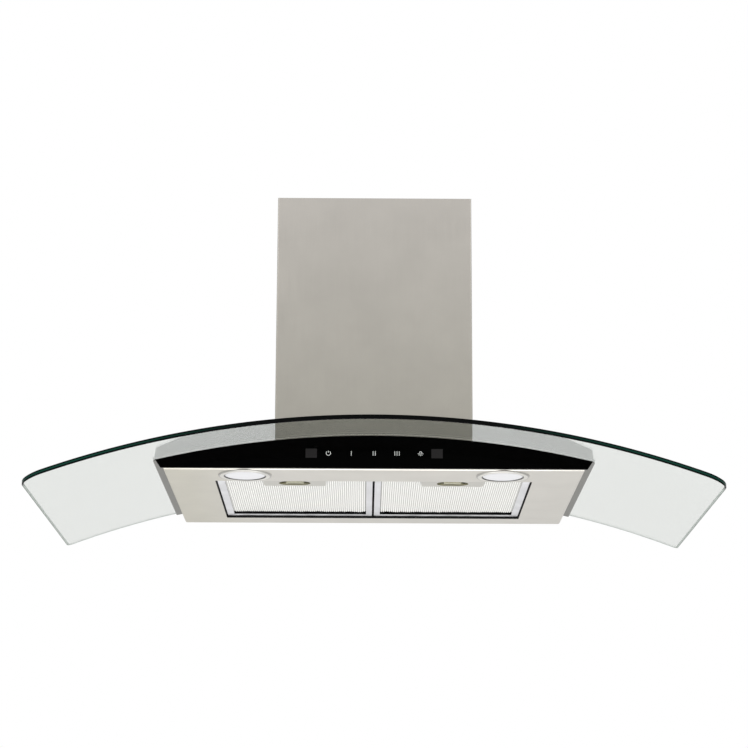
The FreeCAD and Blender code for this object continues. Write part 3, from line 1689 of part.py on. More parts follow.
def make_damper_flaps():
    """Two half discs on one axle; each has its own share of the knuckles."""
    radius = "(duct_radius - duct_wall - flap_gap)"
    start = "(knuckle_radius + sheet)"
    edge = f"sqrt({radius}^2 - {start}^2)"
    for name, side, turn, shift in (
        ("front", "-", -1, "0"),
        ("rear", "", 1, "knuckle_shift"),
    ):
        body = new_body("damper_flap_" + name)
        plate = new_sketch(body, "XY_Plane", "-flap_thick / 2")
        outline(
            plate,
            [
                (f"-{edge}", f"{side}{start}"),
                (edge, f"{side}{start}", radius, turn),
                ("0", f"{side}{radius}", radius, turn),
            ],
        )
        pad(body, plate, "flap_thick")
        low, high = ("0", f"{start} + sheet") if turn > 0 else (f"-{start} - sheet", "0")
        for place in (f"-knuckle_first + {shift}", f"knuckle_second + {shift}"):
            knuckle = new_sketch(body, "YZ_Plane", place)
            circle(knuckle, "0", "0", "knuckle_radius")
            pad(body, knuckle, "knuckle_width")
            web = new_sketch(body, "YZ_Plane", place)
            rectangle(web, low, high, "-flap_thick / 2", "flap_thick / 2")
            pad(body, web, "knuckle_width")
        bore = new_sketch(body, "YZ_Plane", f"-{radius}")
        circle(bore, "0", "0", "axle_radius + shaft_play")
        pocket(body, bore, f"2 * {radius}")
        publish(body, "0", "-duct_y", FLAP_Z)


# ---------------------------------------------------------------- chimney


def chimney_plan(sketch, half, front, rear, lip):
    """Closed outline of a U-shaped cover with rear returns."""
    outline(
        sketch,
        [
            (f"-{half}", rear),
            (f"-{half}", f"{front} + chimney_fold", "chimney_fold", 1),
            (f"-{half} + chimney_fold", front),
            (f"{half} - chimney_fold", front, "chimney_fold", 1),
            (half, f"{front} + chimney_fold"),
            (half, rear),
            (f"{half} - {lip}", rear),
            (f"{half} - {lip}", f"{rear} - sheet"),
            (f"{half} - sheet", f"{rear} - sheet"),
            (f"{half} - sheet", f"{front} + chimney_fold", "chimney_fold - sheet", -1),
            (f"{half} - chimney_fold", f"{front} + sheet"),
            (f"-{half} + chimney_fold", f"{front} + sheet", "chimney_fold - sheet", -1),
            (f"-{half} + sheet", f"{front} + chimney_fold"),
            (f"-{half} + sheet", f"{rear} - sheet"),
            (f"-{half} + {lip}", f"{rear} - sheet"),
            (f"-{half} + {lip}", rear),
        ],
    )


def make_chimney_lower():
    body = new_body("chimney_lower")
    half = "(chimney_width / 2)"
    foot_radius = "(glass_radius + glass_thick + chimney_foot_gap)"
    plan = new_sketch(body, "XY_Plane", f"{arch(foot_radius, half)} - 2")
    chimney_plan(plan, half, "(-wall_gap - chimney_depth)", "-wall_gap", "chimney_return")
    pad(body, plan, f"chimney_top - {arch(foot_radius, half)} + 2")
    foot = new_sketch(body, "XZ_Plane")
    wide = f"({half} + 5)"
    outline(
        foot,
        [
            (f"-{wide}", "0"),
            (wide, "0"),
            (wide, arch(foot_radius, wide), foot_radius, 1),
            (f"-{wide}", arch(foot_radius, wide)),
        ],
    )
    pocket(body, foot, "chimney_depth + 2 * wall_gap")
    holes = new_sketch(body, "YZ_Plane")
    circle(holes, CLIP_Y, CLIP_Z, "screw_radius + screw_play")
    pocket(body, holes, "chimney_width + 2", symmetric=True)
    publish(body)


def make_chimney_clips():
    """Bent tabs on the blower box that take the chimney screws."""
    body = new_body("chimney_clips")
    wall = "(box_width / 2)"
    cover = "(chimney_width / 2 - sheet)"
    start = f"({CLIP_Y} - clip_half)"
    tab = new_sketch(body, "XY_Plane", f"{CLIP_Z} - 0.8 * clip_half")
    outline(
        tab,
        [
            (wall, f"{start} - clip_foot"),
            (f"{wall} + sheet", f"{start} - clip_foot"),
            (f"{wall} + sheet", start),
            (cover, start),
            (cover, f"{CLIP_Y} + clip_half"),
            (f"{cover} - sheet", f"{CLIP_Y} + clip_half"),
            (f"{cover} - sheet", f"{start} + sheet"),
            (wall, f"{start} + sheet"),
        ],
    )
    first = pad(body, tab, "1.6 * clip_half")
    hole = new_sketch(body, "YZ_Plane", f"{cover} - 2 * sheet")
    circle(hole, CLIP_Y, CLIP_Z, "screw_radius")
    second = pocket(body, hole, "3 * sheet")
    mirror(body, [first, second], "YZ_Plane")
    publish(body)


def make_chimney_upper():
    body = new_body("chimney_upper")
    rear = "(-wall_gap - sheet - chimney_play)"
    plan = new_sketch(body, "XY_Plane", "upper_foot")
    chimney_plan(plan, UPPER_HALF, UPPER_FRONT, rear, "upper_return")
    pad(body, plan, "chimney_top - upper_set_down - upper_foot")
    vents = new_sketch(body, "YZ_Plane")
    for slot in range(int(value("vent_count"))):
        top = f"chimney_top - vent_top - {slot} * vent_pitch"
        rectangle(
            vents,
            "-wall_gap - (chimney_depth + vent_length) / 2",
            "-wall_gap - (chimney_depth - vent_length) / 2",
            f"{top} - vent_height",
            top,
        )
    pocket(body, vents, "chimney_width", symmetric=True)
    publish(body)


def make_ceiling_bracket():
    """Strap on the wall with two arms that the inner cover is screwed to."""
    body = new_body("ceiling_bracket")
    plan = new_sketch(body, "XY_Plane", "chimney_top - bracket_top - bracket_height")
    thick = "bracket_thick"
    step = "(box_width / 2 + sheet / 2)"
    reach = f"({UPPER_HALF} - sheet - bracket_play)"
    end = "-bracket_step - bracket_arm"
    half = [
        (step, "0"),
        (step, "-bracket_step"),
        (reach, "-bracket_step"),
        (reach, end),
        (f"{reach} - {thick}", end),
        (f"{reach} - {thick}", f"-bracket_step - {thick}"),
        (f"{step} - {thick}", f"-bracket_step - {thick}"),
        (f"{step} - {thick}", f"-{thick}"),
    ]
    other = [(f"-({x})", y) for x, y in reversed(half)]
    outline(plan, half + other)
    pad(body, plan, "bracket_height")
    holes = new_sketch(body, "XZ_Plane")
    for side in ("-", ""):
        circle(
            holes,
            f"{side}bracket_hole_x / 2",
            "chimney_top - bracket_top - bracket_height / 2",
            "bracket_hole_radius",
        )
    pocket(body, holes, "3 * bracket_thick")
    publish(body)


# ---------------------------------------------------------------- fasteners


def make_screw_group(name, face, places, length):
    """Hexagon-head screws that point down, with their heads on one flat face."""
    body = new_body(name)
    heads = new_sketch(body, "XY_Plane", face)
    shanks = new_sketch(body, "XY_Plane", face)
    for x, y in places:
        hexagon(heads, x, y, "screw_head_radius")
        circle(shanks, x, y, "screw_radius")
    pad(body, heads, "screw_head_height")
    pad(body, shanks, length, reverse=True)
    publish(body)


def make_glass_fixings():
    washers = new_body("glass_washers")
    top = "(glass_crown + glass_thick + washer_thick)"
    plan = new_sketch(washers, "XY_Plane", f"{top} - 2 * washer_thick - washer_foot")
    for x, y in glass_screw_places():
        circle(plan, x, y, "washer_radius")
        circle(plan, x, y, "screw_radius + screw_play")
    pad(washers, plan, "2 * washer_thick + washer_foot")
    foot = new_sketch(washers, "XZ_Plane")
    wide = "(glass_screw_x + 2 * washer_radius)"
    radius = "(glass_radius + glass_thick + seat_gap)"
    outline(
        foot,
        [
            (f"-{wide}", "0"),
            (wide, "0"),
            (wide, arch(radius, wide), radius, 1),
            (f"-{wide}", arch(radius, wide)),
        ],
    )
    pocket(washers, foot, "glass_depth")
    publish(washers)
    make_screw_group("glass_screws", top, glass_screw_places(), "glass_screw_length")


def make_screws():
    face = "throat_top + sheet"
    make_screw_group("blower_screws", face, box_screw_places(), "box_screw_length")
    body = new_body("chimney_screws")
    face = "(chimney_width / 2)"
    heads = new_sketch(body, "YZ_Plane", face)
    circle(heads, CLIP_Y, CLIP_Z, "screw_head_radius")
    first = pad(body, heads, "screw_head_height / 2")
    shank = new_sketch(body, "YZ_Plane", face)
    circle(shank, CLIP_Y, CLIP_Z, "screw_radius")
    second = pad(body, shank, "chimney_screw_length", reverse=True)
    mirror(body, [first, second], "YZ_Plane")
    publish(body)


# ---------------------------------------------------------------- the whole hood


def build():
    fill_sheet()
    make_glass_canopy()
    make_glass_gasket()
    make_body_top_cover()
    make_body_tray()
    make_throat_duct()
    make_front_room_wall()
    make_front_fascia()
    make_signal_windows()
    make_touch_board()
    make_control_box()
    make_lamps()
    make_filters()
    make_wall_plate()
    make_blower_box()
    make_blower_top_plate()
    make_scroll_housing()
    make_inlet_rings()
    make_impeller()
    make_impeller_nut()
    make_motor()
    make_motor_bracket()
    make_capacitor()
    make_junction_box()
    make_outlet_adapter()
    make_damper_axle()
    make_damper_flaps()
    make_chimney_lower()
    make_chimney_clips()
    make_chimney_upper()
    make_ceiling_bracket()
    make_glass_fixings()
    make_screws()
    DOC.recompute()


def check():
    for item in DOC.Objects:
        if "Invalid" in item.State or "Error" in item.State:
            raise RuntimeError(f"{item.Name} failed: {item.State}")
    for piece in PUBLISHED:
        if piece.Shape.isNull() or not piece.Shape.isValid():
            raise RuntimeError(f"{piece.Name} has no valid shape")


def write():
    os.makedirs("parts", exist_ok=True)
    for piece in PUBLISHED:
        piece.Shape.exportStep(f"parts/{piece.Label}.step")
        print(f"{piece.Label}: {len(piece.Shape.Solids)} solids, {piece.Shape.Volume:.0f} mm3")


build()
check()
write()
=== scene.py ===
import logging
import math
from collections.abc import Sequence
from dataclasses import dataclass, field
from enum import Enum
from typing import Any

import bmesh
import bpy
from mathutils import Matrix, Vector


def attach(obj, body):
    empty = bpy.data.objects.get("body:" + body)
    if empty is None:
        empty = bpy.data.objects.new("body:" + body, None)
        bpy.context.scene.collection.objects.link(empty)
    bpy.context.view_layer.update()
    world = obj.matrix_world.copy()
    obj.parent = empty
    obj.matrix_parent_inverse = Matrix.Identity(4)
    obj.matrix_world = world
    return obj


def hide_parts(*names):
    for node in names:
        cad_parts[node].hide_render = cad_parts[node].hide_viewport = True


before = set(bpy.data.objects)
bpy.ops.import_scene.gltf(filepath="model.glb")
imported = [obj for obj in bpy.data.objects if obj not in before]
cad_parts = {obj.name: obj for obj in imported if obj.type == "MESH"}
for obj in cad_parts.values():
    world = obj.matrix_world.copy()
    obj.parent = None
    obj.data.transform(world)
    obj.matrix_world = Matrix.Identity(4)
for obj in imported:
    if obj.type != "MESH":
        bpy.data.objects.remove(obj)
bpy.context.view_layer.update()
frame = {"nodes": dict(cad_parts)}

LOG = logging.getLogger("range_hood")

Colour = tuple[float, float, float]
Place = tuple[float, float, float]
Spot = tuple[float, float]
Loop = list[Spot]
Opening = tuple[Spot, Spot, float]
Outline = tuple[Spot, Spot, float, float]
Socket = bpy.types.NodeSocket
Solid = bpy.types.Object

# The canopy's arch, which its edge finish reads too.
ARCH_CENTRE_Z = -1.393
GLASS_RADIUS = 1.25
GLASS_THICK = 0.006

# The filters' mesh, which its finish reads too.
FILTER_MIDDLE = 0.1069
MESH_HALF = 0.1017
PLEATS = 70

# Smallest angles, in degrees, of an edge that stays sharp and of one that is eased.
SHARP_ANGLE = 35.0
EASED_ANGLE = 40.0

# Steps of an eased edge, and chords of a small hole.
EASED_STEPS = 2
HOLE_CHORDS = 32

# Crossing strands of a weave: their slant in radians, and half waves of the wave texture in a unit.
STRAND_SLANT = 0.6
WAVE_UNIT = 6.283


def paint(red: float, green: float, blue: float) -> Colour:
    """Linear colour of one that is written in the usual 0 to 255.

    Args:
        red: Red as a screen shows it.
        green: Green as a screen shows it.
        blue: Blue as a screen shows it.

    Returns:
        The same colour as a shader reads it.
    """
    parts = []
    for part in (red / 255, green / 255, blue / 255):
        parts.append(part / 12.92 if part <= 0.04045 else ((part + 0.055) / 1.055) ** 2.4)
    return (parts[0], parts[1], parts[2])


# ---------------------------------------------------------------- finishes


class NodeWork:
    """A node tree that is wired in code."""

    def __init__(self, tree: bpy.types.NodeTree) -> None:
        """Takes the tree that the nodes go into."""
        self.tree = tree

    def put(self, socket: Socket, value: Any) -> None:
        """Gives an input its value, or links it.

        Args:
            socket: Input of a node.
            value: Number, colour or the output of another node.
        """
        if isinstance(value, bpy.types.NodeSocket):
            self.tree.links.new(value, socket)
        elif isinstance(value, tuple) and socket.type == "RGBA":
            socket.default_value = (*value, 1.0)
        else:
            socket.default_value = value

    def node(self, kind: str, inputs: dict[str | int, Any], **settings: Any) -> bpy.types.Node:
        """Adds a node.

        Args:
            kind: Its type.
            inputs: Values or links of its inputs.
            **settings: Its own options.

        Returns:
            The node.
        """
        made = self.tree.nodes.new(kind)
        for name, value in settings.items():
            setattr(made, name, value)
        for name, value in inputs.items():
            self.put(made.inputs[name], value)
        return made

    def sums(self, operation: str, first: Any, second: Any = 0.0) -> Socket:
        """Result of a Math node.

        Args:
            operation: What it works out.
            first: First number.
            second: Second number.

        Returns:
            The result.
        """
        return self.node("ShaderNodeMath", {0: first, 1: second}, operation=operation).outputs[0]

    def distance(self, first: Socket, second: Socket) -> Socket:
        """Distance that lies first along one axis and second along another."""
        squares = [self.sums("MULTIPLY", side, side) for side in (first, second)]
        return self.sums("SQRT", self.sums("ADD", *squares))

    def vector(self, x: Any, y: Any, z: Any) -> Socket:
        """Vector put together from its three parts."""
        return self.node("ShaderNodeCombineXYZ", {0: x, 1: y, 2: z}).outputs[0]


class Graph(NodeWork):
    """Node graph of one material, led to a Principled shader."""

    def __init__(self, name: str) -> None:
        """Starts the material.

        Args:
            name: Name of the material.
        """
        self.material = bpy.data.materials.new(name)
        self.material.use_nodes = True
        super().__init__(self.material.node_tree)
        self.tree.nodes.clear()
        self.output = self.node("ShaderNodeOutputMaterial", {})
        self.shader = self.node("ShaderNodeBsdfPrincipled", {})
        self.put(self.output.inputs["Surface"], self.shader.outputs[0])

    def constants(self, **values: Any) -> None:
        """Sets numbers and colours that are the same all over on the shader's own sockets.

        Args:
            **values: Value for each socket, with _ for the blanks in its name.
        """
        for name, value in values.items():
            self.put(self.shader.inputs[name.replace("_", " ")], value)

    def shown(self, share: Socket, other: bpy.types.Node) -> None:
        """Lets another shader take a share of the surface.

        Args:
            share: 0 where the Principled shader is seen, 1 where the other one is.
            other: Node of the other shader.
        """
        inputs = {0: share, 1: self.shader.outputs[0], 2: other.outputs[0]}
        self.put(self.output.inputs["Surface"], self.node("ShaderNodeMixShader", inputs).outputs[0])

    def colour(self, value: Socket) -> None:
        """Links the colour of the surface."""
        self.put(self.shader.inputs["Base Color"], value)

    def rough(self, value: Socket) -> None:
        """Links the roughness of the surface."""
        self.put(self.shader.inputs["Roughness"], value)

    def where(self, stretch: Place = (1.0, 1.0, 1.0), turn: Place = (0.0, 0.0, 0.0)) -> Socket:
        """Place on the object, stretched along its axes.

        Args:
            stretch: Factor along X, Y and Z.
            turn: Turn about X, Y and Z, in radians.

        Returns:
            The place as a vector.
        """
        place = self.node("ShaderNodeTexCoord", {}).outputs["Object"]
        inputs = {"Vector": place, "Scale": stretch, "Rotation": turn}
        return self.node("ShaderNodeMapping", inputs).outputs["Vector"]

    def axis(self, letter: str) -> Socket:
        """Height of a place along one axis, X, Y or Z."""
        split = self.node("ShaderNodeSeparateXYZ", {0: self.where()})
        return split.outputs[letter]

    def aside(self) -> Socket:
        """Distance of a place from the middle of the hood."""
        return self.sums("ABSOLUTE", self.axis("X"))

    def span(
        self, value: Socket, low: float, high: float, start: float = 0.0, end: float = 1.0
    ) -> Socket:
        """Number led from one range into another, and held there.

        Args:
            value: The number.
            low: Value that gives start.
            high: Value that gives end.
            start: Result at low.
            end: Result at high.

        Returns:
            The result.
        """
        inputs = {"Value": value, "From Min": low, "From Max": high, "To Min": start, "To Max": end}
        return self.node("ShaderNodeMapRange", inputs).outputs["Result"]

    def noise(self, place: Socket, scale: float, detail: float) -> Socket:
        """Cloudy noise from 0 to 1.

        Args:
            place: Where it is read.
            scale: Clouds in a metre.
            detail: Finer layers.

        Returns:
            The noise.
        """
        made = self.node("ShaderNodeTexNoise", {"Vector": place, "Scale": scale, "Detail": detail})
        return made.outputs[0]

    def cells(self, scale: float) -> bpy.types.Node:
        """Cell pattern, with so many cells in a metre; its node has a Distance and a Color."""
        return self.node("ShaderNodeTexVoronoi", {"Vector": self.where(), "Scale": scale})

    def weave(self, strands: float, unevenness: float = 0.0) -> Socket:
        """Strands that cross each other at a slant.

        Args:
            strands: Half waves in a metre.
            unevenness: How much they stray from their line.

        Returns:
            Pattern from 0 between the strands to 1 on them.
        """
        waves = []
        for slant in (STRAND_SLANT, -STRAND_SLANT):
            inputs = {
                "Vector": self.where(turn=(0.0, 0.0, slant)), "Scale": strands / WAVE_UNIT,
                "Distortion": unevenness, "Detail": 1.0,
            }
            made = self.node("ShaderNodeTexWave", inputs, bands_direction="Y")
            waves.append(made.outputs["Fac"])
        return self.span(self.sums("MAXIMUM", *waves), 0.35, 0.75)

    def mixed(self, factor: Any, first: Any, second: Any, blend: str = "MIX") -> Socket:
        """Mix of two colours.

        Args:
            factor: 0 for the first, 1 for the second.
            first: First colour.
            second: Second colour.
            blend: How the second is laid over the first.

        Returns:
            The mix.
        """
        made = self.node("ShaderNodeMix", {}, data_type="RGBA", blend_type=blend)
        self.put(made.inputs[0], factor)
        self.put(made.inputs[6], first)
        self.put(made.inputs[7], second)
        return made.outputs[2]

    def shaded(self, colour: Any, amount: Socket, low: float, high: float) -> Socket:
        """Colour made darker or lighter by a pattern.

        Args:
            colour: The colour.
            amount: Pattern from 0 to 1.
            low: Brightness where the pattern is 0.
            high: Brightness where it is 1.

        Returns:
            The colour with its pattern.
        """
        level = self.span(amount, 0.0, 1.0, low, high)
        grey = self.node("ShaderNodeCombineColor", {0: level, 1: level, 2: level}).outputs[0]
        return self.mixed(1.0, colour, grey, "MULTIPLY")

    def relief(self, height: Socket, depth: float, strength: float) -> None:
        """Gives the surface its fine relief.

        Args:
            height: Pattern from 0 to 1.
            depth: Depth of the pattern in metres.
            strength: How strongly it is seen.
        """
        inputs = {"Height": height, "Distance": depth, "Strength": strength}
        self.put(self.shader.inputs["Normal"], self.node("ShaderNodeBump", inputs).outputs[0])


class Finish:
    """A surface of the hood; its material is made the first time it is asked for.

    Attributes:
        name: Name of the material.
    """

    name: str

    def mix(self, graph: Graph) -> None:
        """Builds the nodes of the finish in this graph."""
        raise NotImplementedError

    def material(self) -> bpy.types.Material:
        """The material of this finish.

        Returns:
            The one that is there already, or a new one.
        """
        made = bpy.data.materials.get(self.name)
        if made is None:
            graph = Graph(self.name)
            self.mix(graph)
            made = graph.material
        return made


class Grain(Enum):
    """Which way the brush marks of a steel sheet run."""

    UPRIGHT = (1400.0, 1400.0, 14.0)
    ACROSS = (14.0, 1400.0, 1400.0)


@dataclass(frozen=True)
class BrushedSteel(Finish):
    """Stainless sheet with fine brush marks and a faint cloudiness, with painted shading by height and
    painted shade on some folds and edges.

    Attributes:
        name: Name of the material.
        foot: Colour at the lower end, where the painted shading by height starts.
        head: Colour at the upper end, where the painted shading by height ends.
        foot_z: Height of the lower end.
        head_z: Height of the upper end.
        grain: Way of the brush marks.
        roughness: Mean roughness.
        fold: Distance from the middle beyond which the folded edge has painted shade.
        fold_shade: Brightness of that painted shade.
        edge_z: Height above which the cut edge has painted shade.
        front_y: Depth in front of which the front fold has painted shading, a little darker than the
            sheet.
        relief_strength: How strongly the brush marks are felt.
    """

    name: str
    foot: Colour
    head: Colour
    foot_z: float
    head_z: float
    grain: Grain
    roughness: float
    fold: float = 9.0
    fold_shade: float = 0.84
    edge_z: float = 9.0
    front_y: float = -9.0
    relief_strength: float = 0.35

    def tinted(self, graph: Graph, colour: Socket) -> Socket:
        """The sheet's colour with what is special to it, here as it is."""
        return colour

    def mix(self, graph: Graph) -> None:
        """Builds the brushed sheet in this graph.

        Args:
            graph: Graph of the material.
        """
        # Painted shading: the colour runs from foot to head with height, standing in for how the light
        # falls on the sheet.
        height = graph.span(graph.axis("Z"), self.foot_z, self.head_z)
        colour = graph.mixed(height, self.foot, self.head)
        marks = graph.noise(graph.where(self.grain.value), 1.0, 3.0)
        clouds = graph.noise(graph.where(), 22.0, 4.0)
        colour = graph.shaded(colour, marks, 0.95, 1.05)
        colour = graph.shaded(colour, clouds, 0.93, 1.07)
        # Painted shade on the folded edge: the chimney's corner folds and the cover's strip that
        # stands out past the tray.
        folded = graph.span(graph.aside(), self.fold, self.fold + 0.0006)
        colour = graph.shaded(colour, folded, 1.0, self.fold_shade)
        # Painted shade along the cut edge at the chimney's top.
        cut_edge_shade = graph.span(graph.axis("Z"), self.edge_z, self.edge_z + 0.0004)
        colour = graph.shaded(colour, cut_edge_shade, 1.0, 0.7)
        # Painted shading on the tray's front fold, a little darker than the sheet.
        front = graph.span(graph.axis("Y"), self.front_y, self.front_y + 0.0015, 1.0, 0.0)
        colour = graph.shaded(colour, front, 1.0, 0.94)
        graph.colour(self.tinted(graph, colour))
        graph.rough(graph.span(marks, 0.3, 0.7, self.roughness - 0.05, self.roughness + 0.07))
        graph.constants(Metallic=1.0)
        graph.relief(marks, 0.00002, self.relief_strength)


@dataclass(frozen=True)
class TraySteel(BrushedSteel):
    """Brushed sheet of the tray, with painted shade, a little yellow, at its left side.

    Attributes:
        left_shade: Share of each colour that is left at the left side, as painted shade.
        left_shade_x: Places between which the painted shade sets in.
    """

    left_shade: Colour = (0.93, 0.925, 0.87)
    left_shade_x: Spot = (-0.16, -0.25)

    def tinted(self, graph: Graph, colour: Socket) -> Socket:
        """The sheet's colour with painted shade at its left side."""
        # Painted shade: the left side is darker and a little yellow, as if the light came more from
        # the right.
        share = graph.span(graph.axis("X"), *self.left_shade_x)
        return graph.mixed(share, colour, self.left_shade, "MULTIPLY")


@dataclass(frozen=True)
class Galvanised(Finish):
    """Zinc-coated sheet or casting with a faint spangle.

    Attributes:
        name: Name of the material.
        tone: Mean colour.
        spangle: Grains in a metre.
        roughness: Mean roughness.
    """

    name: str
    tone: Colour
    spangle: float = 140.0
    roughness: float = 0.42

    def mix(self, graph: Graph) -> None:
        """Builds the spangled zinc in this graph.

        Args:
            graph: Graph of the material.
        """
        grain = graph.cells(self.spangle)
        shade = graph.node("ShaderNodeSeparateColor", {0: grain.outputs["Color"]}).outputs[0]
        haze = graph.noise(graph.where(), 40.0, 3.0)
        colour = graph.shaded(self.tone, shade, 0.9, 1.07)
        graph.colour(graph.shaded(colour, haze, 0.92, 1.06))
        graph.rough(graph.span(shade, 0.0, 1.0, self.roughness - 0.08, self.roughness + 0.08))
        graph.constants(Metallic=1.0)
        graph.relief(haze, 0.00004, 0.3)


@dataclass(frozen=True)
class BareMetal(Finish):
    """Turned, pressed or cast metal.

    Attributes:
        name: Name of the material.
        tone: Mean colour.
        roughness: Mean roughness.
        texture: Marks in a metre.
        depth: Depth of the marks in metres.
    """

    name: str
    tone: Colour
    roughness: float = 0.3
    texture: float = 600.0
    depth: float = 0.00003

    def mix(self, graph: Graph) -> None:
        """Builds the metal in this graph.

        Args:
            graph: Graph of the material.
        """
        marks = graph.noise(graph.where(), self.texture, 4.0)
        stain = graph.noise(graph.where(), 60.0, 2.0)
        graph.colour(graph.shaded(graph.shaded(self.tone, marks, 0.93, 1.05), stain, 0.92, 1.06))
        graph.rough(graph.span(stain, 0.3, 0.7, self.roughness - 0.06, self.roughness + 0.1))
        graph.constants(Metallic=1.0)
        graph.relief(marks, self.depth, 0.5)


@dataclass(frozen=True)
class Plastic(Finish):
    """Moulded plastic, rubber or foam with a fine eroded grain.

    Attributes:
        name: Name of the material.
        tone: Mean colour.
        roughness: Mean roughness.
        texture: Grains in a metre.
        depth: Depth of the grain in metres.
    """

    name: str
    tone: Colour
    roughness: float = 0.45
    texture: float = 1500.0
    depth: float = 0.00005

    def mix(self, graph: Graph) -> None:
        """Builds the plastic in this graph.

        Args:
            graph: Graph of the material.
        """
        grain = graph.noise(graph.where(), self.texture, 2.0)
        dust = graph.noise(graph.where(), 55.0, 5.0)
        graph.colour(graph.shaded(graph.shaded(self.tone, grain, 0.95, 1.05), dust, 0.9, 1.1))
        graph.rough(graph.span(dust, 0.3, 0.7, self.roughness - 0.05, self.roughness + 0.1))
        graph.relief(grain, self.depth, 0.6)


@dataclass(frozen=True)
class ClearGlass(Finish):
    """Clear tempered glass that lets the light of the lamps through.

    Attributes:
        name: Name of the material.
        tint: Colour of what is seen through it.
        passed: Colour of the lamps' light that comes through.
    """

    name: str = "clear glass"
    tint: Colour = paint(241, 244, 241)
    passed: Colour = paint(240, 245, 241)

    def mix(self, graph: Graph) -> None:
        """Builds the glass in this graph.

        Args:
            graph: Graph of the material.
        """
        wipe = graph.noise(graph.where((1.0, 0.4, 1.0)), 9.0, 3.0)
        graph.rough(graph.span(wipe, 0.45, 0.8, 0.0, 0.012))
        graph.colour(graph.shaded(self.tint, wipe, 0.985, 1.0))
        graph.constants(IOR=1.5, Transmission_Weight=1.0)
        path = graph.node("ShaderNodeLightPath", {})
        shadow, diffuse = path.outputs["Is Shadow Ray"], path.outputs["Is Diffuse Ray"]
        passing = graph.sums("MAXIMUM", shadow, diffuse)
        clear = graph.node("ShaderNodeBsdfTransparent", {0: self.passed})
        graph.shown(passing, clear)


@dataclass(frozen=True)
class GlassEdge(Finish):
    """Polished edge of the glass, where its green is seen at full depth.

    Attributes:
        name: Name of the material.
        deep: Colour in the middle of the hood.
        green: Colour of the streak towards the sides.
        pale: Colour of the side and rear edges, painted light where daylight comes through.
        line: Colour of their lower corner.
    """

    name: str = "glass edge"
    deep: Colour = paint(3, 4, 4)
    green: Colour = paint(14, 58, 47)
    pale: Colour = paint(180, 187, 183)
    line: Colour = paint(92, 98, 95)

    def mix(self, graph: Graph) -> None:
        """Builds the edge in this graph.

        Args:
            graph: Graph of the material.
        """
        side, deep = graph.aside(), graph.axis("Y")
        from_centre = graph.distance(side, graph.sums("SUBTRACT", graph.axis("Z"), ARCH_CENTRE_Z))
        level = graph.sums("SUBTRACT", from_centre, GLASS_RADIUS + GLASS_THICK / 2)
        off = graph.sums("ABSOLUTE", level)
        middle = graph.span(off, GLASS_THICK / 10, GLASS_THICK / 4, 1.0, 0.0)
        streak = graph.sums("MULTIPLY", middle, graph.span(side, 0.15, 0.36))
        colour = graph.mixed(streak, self.deep, self.green)
        # Painted light: the side and rear edges are pale where daylight would come through, with a
        # darker line at their lower corner.
        at_side, behind_corner = graph.span(side, 0.4485, 0.4495), graph.span(deep, -0.455, -0.44)
        flank = graph.sums("MULTIPLY", at_side, behind_corner)
        rear = graph.span(deep, -0.012, -0.006)
        corner = graph.span(level, -0.36 * GLASS_THICK, -0.3 * GLASS_THICK, 1.0, 0.0)
        painted_edge_light = graph.mixed(corner, self.pale, self.line)
        colour = graph.mixed(graph.sums("MAXIMUM", flank, rear), colour, painted_edge_light)
        polish = graph.noise(graph.where(), 120.0, 2.0)
        graph.colour(graph.shaded(colour, polish, 0.9, 1.1))
        graph.rough(graph.span(polish, 0.3, 0.7, 0.05, 0.12))
        graph.constants(IOR=1.5, Specular_IOR_Level=0.05)


@dataclass(frozen=True)
class LatchSteel(Finish):
    """Steel of the latch plate, with painted shade, olive, on the lip and walls of its finger slot,
    and painted light inside its cup.

    Attributes:
        name: Name of the material.
        face: Colour of the plate.
        rim: Colour of the slot's lip and walls, as painted shade.
        inside: Colour inside the cup, painted light.
        face_z: Height of the plate's top.
        rim_z: Height of the rim's top.
        slot: Middle of the finger slot.
        slot_half: Half its width.
        slot_radius: Radius of its ends.
        lip: Width of the painted shade round the slot.
    """

    name: str = "latch steel"
    face: Colour = paint(194, 192, 186)
    rim: Colour = paint(126, 123, 96)
    inside: Colour = paint(226, 224, 206)
    face_z: float = -0.1875
    rim_z: float = -0.1868
    slot: Spot = (0.1069, -0.2852)
    slot_half: float = 0.021
    slot_radius: float = 0.012
    lip: float = 0.0005

    def mix(self, graph: Graph) -> None:
        """Builds the plate in this graph.

        Args:
            graph: Graph of the material.
        """
        height = graph.axis("Z")
        along = graph.sums("ABSOLUTE", graph.sums("SUBTRACT", graph.aside(), self.slot[0]))
        straight = self.slot_half - self.slot_radius
        along = graph.sums("MAXIMUM", graph.sums("SUBTRACT", along, straight), 0.0)
        deep = graph.sums("SUBTRACT", graph.axis("Y"), self.slot[1])
        off = graph.sums("SUBTRACT", graph.distance(along, deep), self.slot_radius)
        # Painted shade: the slot's lip and walls are olive and darker than the plate.
        lip = graph.span(off, self.lip - 0.0001, self.lip + 0.0001, 1.0, 0.0)
        wall = graph.span(height, self.face_z, self.face_z + 0.0001)
        colour = graph.mixed(graph.sums("MAXIMUM", lip, wall), self.face, self.rim)
        # Painted light: the inside of the cup is lighter than the plate, though it lies in shade.
        cup_light = graph.span(height, self.rim_z, self.rim_z + 0.0002)
        colour = graph.mixed(cup_light, colour, self.inside)
        marks = graph.noise(graph.where(Grain.ACROSS.value), 1.0, 3.0)
        graph.colour(graph.shaded(colour, marks, 0.96, 1.04))
        graph.rough(graph.span(marks, 0.3, 0.7, 0.36, 0.46))
        graph.constants(Metallic=0.85)
        graph.relief(marks, 0.00002, 0.2)


